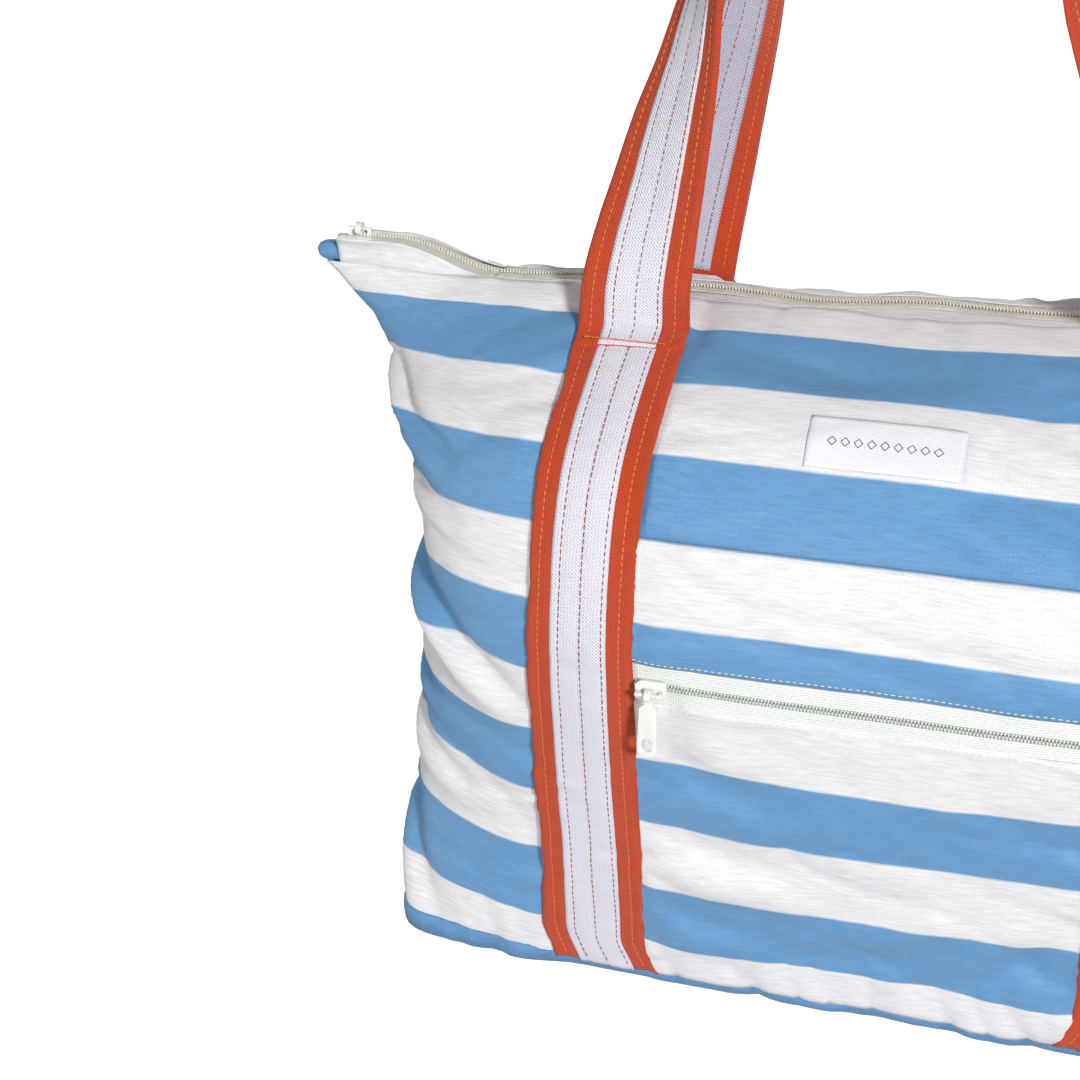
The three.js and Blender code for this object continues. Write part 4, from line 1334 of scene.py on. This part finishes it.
@dataclass
class FrontPocket:
    """The outer layer on the front with its zip, hem and stitches."""

    skin: Skin
    finishes: Finishes
    half: float = 112.0
    hem: float = 247.0
    fold: float = 189.0
    lower_edge: float = 169.5
    chain: float = 178.5
    foot: float = 3.0
    tape_under: float = 3.0
    tape_gap: float = 0.1
    tooth_offset: float = 0.9

    def build(self) -> None:
        """Makes and dresses the pocket."""
        span_s = (-self.half, self.half)
        upper = ClothLayer("pocket_upper_cloth", Side.FRONT, span_s, (self.fold, self.hem), 0.4, 2.2,
                           edge_roll=2.2, lift=self.swell).build(self.skin)
        settle(dress(upper, self.finishes.striped), "bag", "white_cloth", "pocket_panel_upper")
        lower = ClothLayer("pocket_lower_cloth", Side.FRONT, span_s, (self.foot, self.lower_edge), 0.4, 1.9,
                           edge_roll=2.0, lift=self.swell).build(self.skin)
        settle(dress(lower, self.finishes.striped), "bag", "white_cloth", "pocket_panel_lower")
        under, gap = self.tape_under, self.tape_gap
        for name, span_t in (("upper", (self.chain + gap, self.fold + under)),
                             ("lower", (self.lower_edge - under, self.chain - gap))):
            tape = ClothLayer(f"pocket_tape_{name}", Side.FRONT, span_s, span_t, 0.15, 0.85,
                              step=2.0).build(self.skin)
            dress(tape, self.finishes.pocket_tape)
            settle(tape, "bag", "pocket_zip_tape", "pocket_zip_tape_" + name)
            self.teeth(name, 1 if name == "upper" else -1)
        self.stitches()

    def swell(self, s: Array, t: Array) -> Array:
        """The outer layer's own small swells."""
        loose = 0.5 + 0.5 * cloth_noise(s / 40, t / 16, 71) + 0.3 * cloth_noise(s / 13, t / 9, 72)
        return loose * smooth(103 - np.abs(s), -4, 10)

    def teeth(self, name: str, hand: int) -> None:
        """One side of the chain."""
        stagger = CHAIN_PITCH / 2 if hand > 0 else 0
        s = np.arange(-self.half + 10, self.half - 10, CHAIN_PITCH) + stagger
        t = np.full(s.shape, self.chain + hand * self.tooth_offset)
        run = Run()
        up = unit(self.skin.at(Side.FRONT, s, t + 2) - self.skin.at(Side.FRONT, s, t - 2))
        run.add(self.skin.at(Side.FRONT, s, t, 1.35), up, self.skin.normal(Side.FRONT, s, t))
        repeater = Repeater(*POCKET_TOOTH, self.finishes.pocket_teeth, 8)
        piece = repeater.build("pocket_teeth_" + name, run)
        settle(piece, "bag", "pocket_zip_coil", "pocket_zip_coil_" + name)

    def stitches(self) -> None:
        """White topstitch along the fold over the zip, under the hem and along the tape."""
        run = Run()
        s = span(-self.half + 9, self.half - 9, 2.0)
        for level, raised in ((self.fold + 2.4, 2.35), (self.hem - 2.6, 2.35), (self.lower_edge - 2.0, 2.1)):
            t = np.full(s.shape, level)
            out = raised + self.swell(s, t)
            run.add_path(self.skin.at(Side.FRONT, s, t, out), self.skin.normal(Side.FRONT, s, t), 3.0)
        piece = Repeater(*POCKET_STITCH, self.finishes.white_thread, 9).build("pocket_stitches", run)
        settle(piece, "bag", "white_cloth")


@dataclass
class MouthZip:
    """The zip across the mouth: tapes, teeth, puckered cloth beside them, closed ends and end tabs."""

    skin: Skin
    finishes: Finishes
    level: float = 325.6
    parting_half: float = 205.0
    end: float = 289.0
    hinge: float = 10.8
    ear_rise: float = 12.5
    ear_run: float = 50.0
    hem_sink: float = 0.8
    tooth_offset: float = 0.95
    tooth_rise: float = 0.75
    end_gap: float = 1.2
    tab_growth: tuple[float, float, float] = (0.8, 1.4, 0.7)

    def wave(self, x: Array) -> Array:
        """Small sideways and upward wander of the chain."""
        calm = smooth(self.parting_half - np.abs(x), 0, 60)
        return calm * (1.3 * np.sin(x / 27.0) + 0.8 * np.sin(x / 13.0 + 1.0))

    def chain_height(self, x: Array) -> Array:
        """Height of the chain along the mouth."""
        rise = smooth(np.abs(x) - self.parting_half - 1, 0, self.ear_run)
        return self.level + self.ear_rise * rise + 0.8 * self.wave(x + 17)

    def edge_at(self, side: Side, x: Array) -> Array:
        """Points of one panel's top edge at places along X."""
        t = np.full(self.skin.s.shape, self.skin.shape.height)
        line = self.skin.at(side, self.skin.s, t, -self.hem_sink)
        return np.stack([x, np.interp(x, line[:, 0], line[:, 1]), np.interp(x, line[:, 0], line[:, 2])], -1)

    def build(self) -> None:
        """Makes and dresses the zip."""
        for side in Side:
            self.strip(side)
            self.tape(side)
            self.teeth(side)
        for hand in Hand:
            self.closed_end(hand)
            self.tab(hand)
            dress(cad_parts[f"main_zip_stop_{hand.name.lower()}"], self.finishes.enamel)

    def across(self, side: Side, x: Array, stations: Sequence[tuple[float, float, float]]) -> Array:
        """Points from the panel's edge in to the chain.

        Args:
            side: the face.
            x: places along the mouth.
            stations: share from the edge to the hinge line, share of its height, and lift, of each column.

        Returns:
            One row of points for each place.
        """
        edge = self.edge_at(side, x)
        goal = np.stack([x, side.value * self.hinge + self.wave(x), self.chain_height(x)], -1)
        columns = []
        for share, height, lift in stations:
            point = edge + (goal - edge) * np.array([share, share, height])
            point[:, 2] += lift * (1 + 0.5 * cloth_noise(x / 8, x * 0 + share * 5, 400 + side.value))
            columns.append(point)
        return np.stack(columns, 1)

    def strip(self, side: Side) -> None:
        """The white cloth between the panel's edge and the tape, with its rolled and puckered fold."""
        x = span(-self.end + 2, self.end - 2, 2.5)
        stations = [(-0.05, 0.0, -1.5), (-0.04, 0.0, 0.2), (0.08, 0.0, 0.9), (0.2, 0.05, 0.9),
                    (0.32, 0.3, 0.3), (0.5, 0.7, 0.1), (0.75, 0.95, 0.3), (1.0, 1.0, 0.4)]
        outer = self.across(side, x, stations)
        inner = outer.copy()
        inner[..., 2] -= 1.0
        uv = np.stack(np.broadcast_arrays(x[:, None], 400.0 + np.arange(len(stations))[None, :] * 2), -1)
        name = side.name.lower()
        piece = closed_sheet("mouth_strip_" + name, outer, inner, uv, side is Side.BACK)
        self.face_up(piece)
        settle(dress(piece, self.finishes.white), "bag", "white_cloth", "zip_panel_" + name)

    @staticmethod
    def face_up(piece: Piece) -> None:
        """Turns a closed sheet right side out."""
        work = bmesh.new()
        work.from_mesh(piece.data)
        bmesh.ops.recalc_face_normals(work, faces=work.faces)
        work.to_mesh(piece.data)
        work.free()

    def tape(self, side: Side) -> None:
        """One parting tape, from the hinge line to the chain."""
        x = span(-self.parting_half, self.parting_half, 2.5)
        shares = np.linspace(0, 1, 5)
        y = side.value * (self.hinge + (0.7 - self.hinge) * shares)
        net = np.stack(np.broadcast_arrays(x[:, None], y[None, :] + self.wave(x)[:, None],
                                           self.chain_height(x)[:, None] + 0.1), -1).copy()
        net[..., 2] += 0.5 * np.sin(np.pi * shares)[None, :] * (1 + cloth_noise(x / 9, x * 0, 420))[:, None]
        inner = net.copy()
        inner[..., 2] -= 0.7
        uv = np.stack(np.broadcast_arrays(x[:, None], y[None, :]), -1)
        name = side.name.lower()
        piece = closed_sheet("mouth_tape_" + name, net, inner, uv)
        self.face_up(piece)
        dress(piece, self.finishes.main_tape)
        settle(piece, name + "_zip_half", "main_zip_tape", "main_zip_tape_" + name)

    @staticmethod
    def stagger(side: Side) -> float:
        """How far one side's teeth stand past the other's."""
        return CHAIN_PITCH / 2 if side is Side.BACK else 0.0

    def add_teeth(self, run: Run, side: Side, x: Array) -> None:
        """Adds one side's teeth at these places along the mouth."""
        y, z = side.value * self.tooth_offset + self.wave(x), self.chain_height(x) + self.tooth_rise
        run.add(np.stack([x, y, z], -1), np.array([0.0, 1.0, 0.0]), np.array([0.0, 0.0, 1.0]))

    def teeth(self, side: Side) -> None:
        """One side of the chain, on the parting stretch."""
        run = Run()
        self.add_teeth(run, side, np.arange(-self.parting_half + 1, self.parting_half - 1, CHAIN_PITCH)
                       + self.stagger(side))
        name = side.name.lower()
        piece = Repeater(*MAIN_TOOTH, self.finishes.main_teeth, 12).build("mouth_teeth_" + name, run)
        settle(piece, name + "_zip_half", "main_zip_coil", "main_zip_coil_" + name)

    def closed_end(self, hand: Hand) -> None:
        """The stretch of zip from the parting stretch to the corner, tape and teeth."""
        x = span(self.parting_half + 0.6, self.end, 2.5) * hand.value
        shares = np.linspace(-1, 1, 11)
        front, back = self.edge_at(Side.FRONT, x), self.edge_at(Side.BACK, x)
        half = np.clip((back[:, 1] - front[:, 1]) / 2 - 0.4, 1.8, self.hinge)
        y = half[:, None] * shares[None, :] + self.wave(x)[:, None]
        top = self.chain_height(x)
        z = top[:, None] + 0.1 - 1.4 * np.abs(shares[None, :]) ** 3 * np.ones(len(x))[:, None]
        net = np.stack(np.broadcast_arrays(x[:, None], y, z), -1).copy()
        inner = net.copy()
        inner[..., 2] -= 0.8
        uv = np.stack(np.broadcast_arrays(x[:, None], y), -1)
        name = hand.name.lower()
        piece = closed_sheet("mouth_end_tape_" + name, net, inner, uv)
        self.face_up(piece)
        settle(dress(piece, self.finishes.main_tape), "bag", "main_zip_tape", "main_zip_end_" + name)
        run = Run()
        for side in Side:
            start = self.parting_half + self.end_gap + self.stagger(side)
            self.add_teeth(run, side, np.arange(start, self.end - 11, CHAIN_PITCH) * hand.value)
        repeater = Repeater(*MAIN_TOOTH, self.finishes.main_teeth, 13)
        teeth = repeater.build("mouth_end_teeth_" + name, run)
        settle(teeth, "bag", "main_zip_coil")

    def tab(self, hand: Hand) -> None:
        """The folded cloth tab that closes the zip's end."""
        low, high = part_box(f"zip_end_tab_{hand.name.lower()}")
        x, y, z = (high - low) / 2 / MM + Vector(self.tab_growth)
        middle = (low + high) / 2 / MM
        rings, around = 11, 20
        net = np.zeros((rings, around, 3))
        for i, f in enumerate(np.linspace(0, 1, rings)):
            bulge = (1 - max(f * 2 - 1, 0) ** 2.6) ** 0.5 if f > 0.5 else 1.0
            girth = max(bulge, 0.15) * (1.0 - 0.12 * smooth(f, 0.0, 0.25) * smooth(1 - f, 0.4, 0.9))
            for k in range(around):
                c, s = math.cos(2 * math.pi * k / around), math.sin(2 * math.pi * k / around)
                net[i, k] = (middle[0] + hand.value * (f * 2 - 1) * x,
                             y * np.sign(c) * abs(c) ** 0.7 * girth,
                             middle[2] - self.tab_growth[2] + z * np.sign(s) * abs(s) ** 0.8 * girth)
        faces = []
        for i in range(rings - 1):
            for k in range(around):
                m = (k + 1) % around
                faces.append((i * around + k, i * around + m, (i + 1) * around + m, (i + 1) * around + k))
        faces += [tuple(range(around))[::-1], tuple((rings - 1) * around + k for k in range(around))]
        points = net.reshape(-1, 3)
        piece = mesh_object(f"end_tab_cloth_{hand.name.lower()}", points, faces, points[:, [0, 2]])
        self.face_up(piece)
        settle(dress(piece, self.finishes.blue), "bag", "blue_cloth", f"zip_end_tab_{hand.name.lower()}")


@dataclass
class Label:
    """The woven label with a sewn border and a small pattern of lozenges."""

    skin: Skin
    finishes: Finishes
    s_span: tuple[float, float] = (-36.0, 30.0)
    t_span: tuple[float, float] = (285.0, 309.0)
    inset: float = 2.2

    def build(self) -> None:
        """Makes and dresses the label."""
        def puff(s: Array, t: Array) -> Array:
            """The label's own small swells."""
            return 0.35 + 0.35 * cloth_noise(s / 14, t / 9, 81)

        layer = ClothLayer("label_cloth", Side.FRONT, self.s_span, self.t_span, 0.1, 0.95, step=1.6,
                           edge_roll=0.8, lift=puff)
        settle(dress(layer.build(self.skin), self.finishes.label), "bag", "label_cloth", "label")
        self.border(puff)
        self.motif(puff)

    def border(self, puff: Callable[[Array, Array], Array]) -> None:
        """The row of stitches round the label's edge."""
        (s0, s1), (t0, t1) = self.s_span, self.t_span
        s0, s1, t0, t1 = s0 + self.inset, s1 - self.inset, t0 + self.inset, t1 - self.inset
        run = Run()
        for a, b in (((s0, t0), (s1, t0)), ((s1, t0), (s1, t1)), ((s1, t1), (s0, t1)), ((s0, t1), (s0, t0))):
            f = np.linspace(0, 1, 30)
            s, t = a[0] + (b[0] - a[0]) * f, a[1] + (b[1] - a[1]) * f
            path = self.skin.at(Side.FRONT, s, t, 0.95 + puff(s, t))
            run.add_path(path, self.skin.normal(Side.FRONT, s, t), 2.4)
        piece = Repeater(*LABEL_STITCH, self.finishes.white_thread, 15).build("label_border", run)
        settle(piece, "bag", "label_cloth")

    def motif(self, puff: Callable[[Array, Array], Array]) -> None:
        """A short row of plain lozenges in dark thread."""
        run = Run()
        middle_s, middle_t = sum(self.s_span) / 2, sum(self.t_span) / 2
        reach = 1.9
        for n in range(-4, 5):
            corners = [(reach, 0), (0, reach), (-reach, 0), (0, -reach), (reach, 0)]
            for a, b in zip(corners, corners[1:]):
                f = np.linspace(0, 1, 4)
                s = middle_s + n * 5.6 + a[0] + (b[0] - a[0]) * f
                t = middle_t + a[1] + (b[1] - a[1]) * f
                path = self.skin.at(Side.FRONT, s, t, 0.95 + puff(s, t))
                run.add_path(path, self.skin.normal(Side.FRONT, s, t), 0.9)
        piece = Repeater(*MOTIF_STITCH, self.finishes.dark_thread, 16).build("label_motif", run)
        settle(piece, "bag", "label_cloth")


@dataclass
class ZipMetal:
    """The enamelled sliders and pulls, cut from their CAD shapes with rounded edges."""

    finishes: Finishes
    rounding: float = 0.45

    def build(self) -> None:
        """Makes and dresses the sliders and pulls."""
        for node, body in (("main_slider", "main_slider"), ("main_puller", "main_pull"),
                           ("pocket_slider", "pocket_slider"), ("pocket_puller", "pocket_pull")):
            settle(dress(self.rounded(node), self.finishes.enamel), body, "zip_metal", node)

    def rounded(self, node: str) -> Piece:
        """A copy of a CAD shape with its doubles merged and its edges rounded."""
        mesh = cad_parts[node].data.copy()
        work = bmesh.new()
        work.from_mesh(mesh)
        bmesh.ops.remove_doubles(work, verts=work.verts, dist=1e-6)
        bmesh.ops.dissolve_limit(work, angle_limit=math.radians(2), verts=work.verts, edges=work.edges)
        work.to_mesh(mesh)
        work.free()
        rough = placed(node + "_rough", mesh)
        bevel = rough.modifiers.new("rounding", "BEVEL")
        bevel.width, bevel.segments = self.rounding * MM, 3
        bevel.limit_method, bevel.angle_limit = "ANGLE", math.radians(35)
        shape = resolved(rough)
        bpy.data.objects.remove(rough)
        shape.polygons.foreach_set("use_smooth", [True] * len(shape.polygons))
        return placed(node + "_enamel", shape)


# ---------------------------------------------------------------- surroundings


@dataclass
class Studio:
    """Pale floor, soft light and the camera."""

    target: tuple[float, float, float] = (-184.95, 0.0, 186.7)
    azimuth: float = 17.6
    elevation: float = 22.64
    distance: float = 982.8
    lens: float = 64.2
    sensor: float = 36.0
    sky: float = 0.19
    floor_reach: float = 6000.0

    def build(self) -> None:
        """Makes the floor, the lights and the camera."""
        self.floor()
        self.lights()
        self.camera()

    def floor(self) -> None:
        """A wide pale floor under the bag."""
        sides = ((-1, -1), (1, -1), (1, 1), (-1, 1))
        corners = np.array([(x * self.floor_reach, y * self.floor_reach, FLOOR_LEVEL) for x, y in sides])
        floor = mesh_object("floor", corners, [(0, 1, 2, 3)])
        material = Finish("floor_paint", (0.55, 0.55, 0.55), roughness=0.95, wear=0.01, wear_scale=2,
                          glow=0.9, source=Coupling.OBJECT).build()
        self.glow_for_the_eye(material)
        dress(floor, material)

    @staticmethod
    def glow_for_the_eye(material: Material) -> None:
        """Lets the floor look bright while it throws no extra light on the bag."""
        tree = material.node_tree
        shader = next(node for node in tree.nodes if node.type == "BSDF_PRINCIPLED")
        path = tree.nodes.new("ShaderNodeLightPath")
        share = tree.nodes.new("ShaderNodeMath")
        share.operation = "MULTIPLY"
        share.inputs[1].default_value = shader.inputs["Emission Strength"].default_value
        tree.links.new(path.outputs["Is Camera Ray"], share.inputs[0])
        tree.links.new(share.outputs[0], shader.inputs["Emission Strength"])

    def lamp(self, name: str, place: tuple[float, float, float], size: float, power: float) -> None:
        """A square soft lamp that faces the bag."""
        data = bpy.data.lights.new(name, "AREA")
        data.shape, data.size, data.energy = "SQUARE", size, power
        obj = placed(name, data)
        obj.location = place
        self.face(obj, Vector(self.target) * MM - obj.location)

    @staticmethod
    def face(obj: Piece, towards: Vector) -> None:
        """Turns a lamp or a camera to look along a direction."""
        obj.rotation_mode = "QUATERNION"
        obj.rotation_quaternion = towards.to_track_quat("-Z", "Y")

    def lights(self) -> None:
        """A key to the right across the folds, a broad fill to the left, a rear lamp and a pale sky."""
        self.lamp("key", (1.4, -2.3, 1.35), 0.36, 72)
        self.lamp("fill", (-2.2, -1.7, 0.5), 1.2, 26)
        self.lamp("rear", (-0.6, 2.8, 1.0), 1.4, 20)
        world = bpy.data.worlds.new("sky")
        world.use_nodes = True
        background = world.node_tree.nodes["Background"]
        background.inputs["Color"].default_value = (1, 1, 1, 1)
        background.inputs["Strength"].default_value = self.sky
        bpy.context.scene.world = world
        bpy.context.scene.view_settings.view_transform = "Standard"

    def camera(self) -> None:
        """The camera in front of the bag's left half, looking slightly down."""
        data = bpy.data.cameras.new("camera")
        data.lens, data.sensor_width, data.clip_start, data.clip_end = self.lens, self.sensor, 0.01, 100
        obj = placed("camera", data)
        a, e = math.radians(self.azimuth), math.radians(self.elevation)
        back = Vector((math.sin(a) * math.cos(e), -math.cos(a) * math.cos(e), math.sin(e)))
        obj.location = (Vector(self.target) + back * self.distance) * MM
        self.face(obj, -back)
        bpy.context.scene.camera = obj


def main() -> None:
    """Builds every sub-assembly in order."""
    shape = BodyShape()
    skin = Skin(shape, Relief(shape))
    finishes = Finishes()
    BodyShell(skin, finishes).build()
    FrontPocket(skin, finishes).build()
    Straps(skin, finishes).build()
    Label(skin, finishes).build()
    MouthZip(skin, finishes).build()
    for side in Side:
        Handle(skin, finishes, side).build()
    BarStitches(skin, finishes).build()
    ZipMetal(finishes).build()
    Studio().build()


if __name__ == "__main__":
    main()
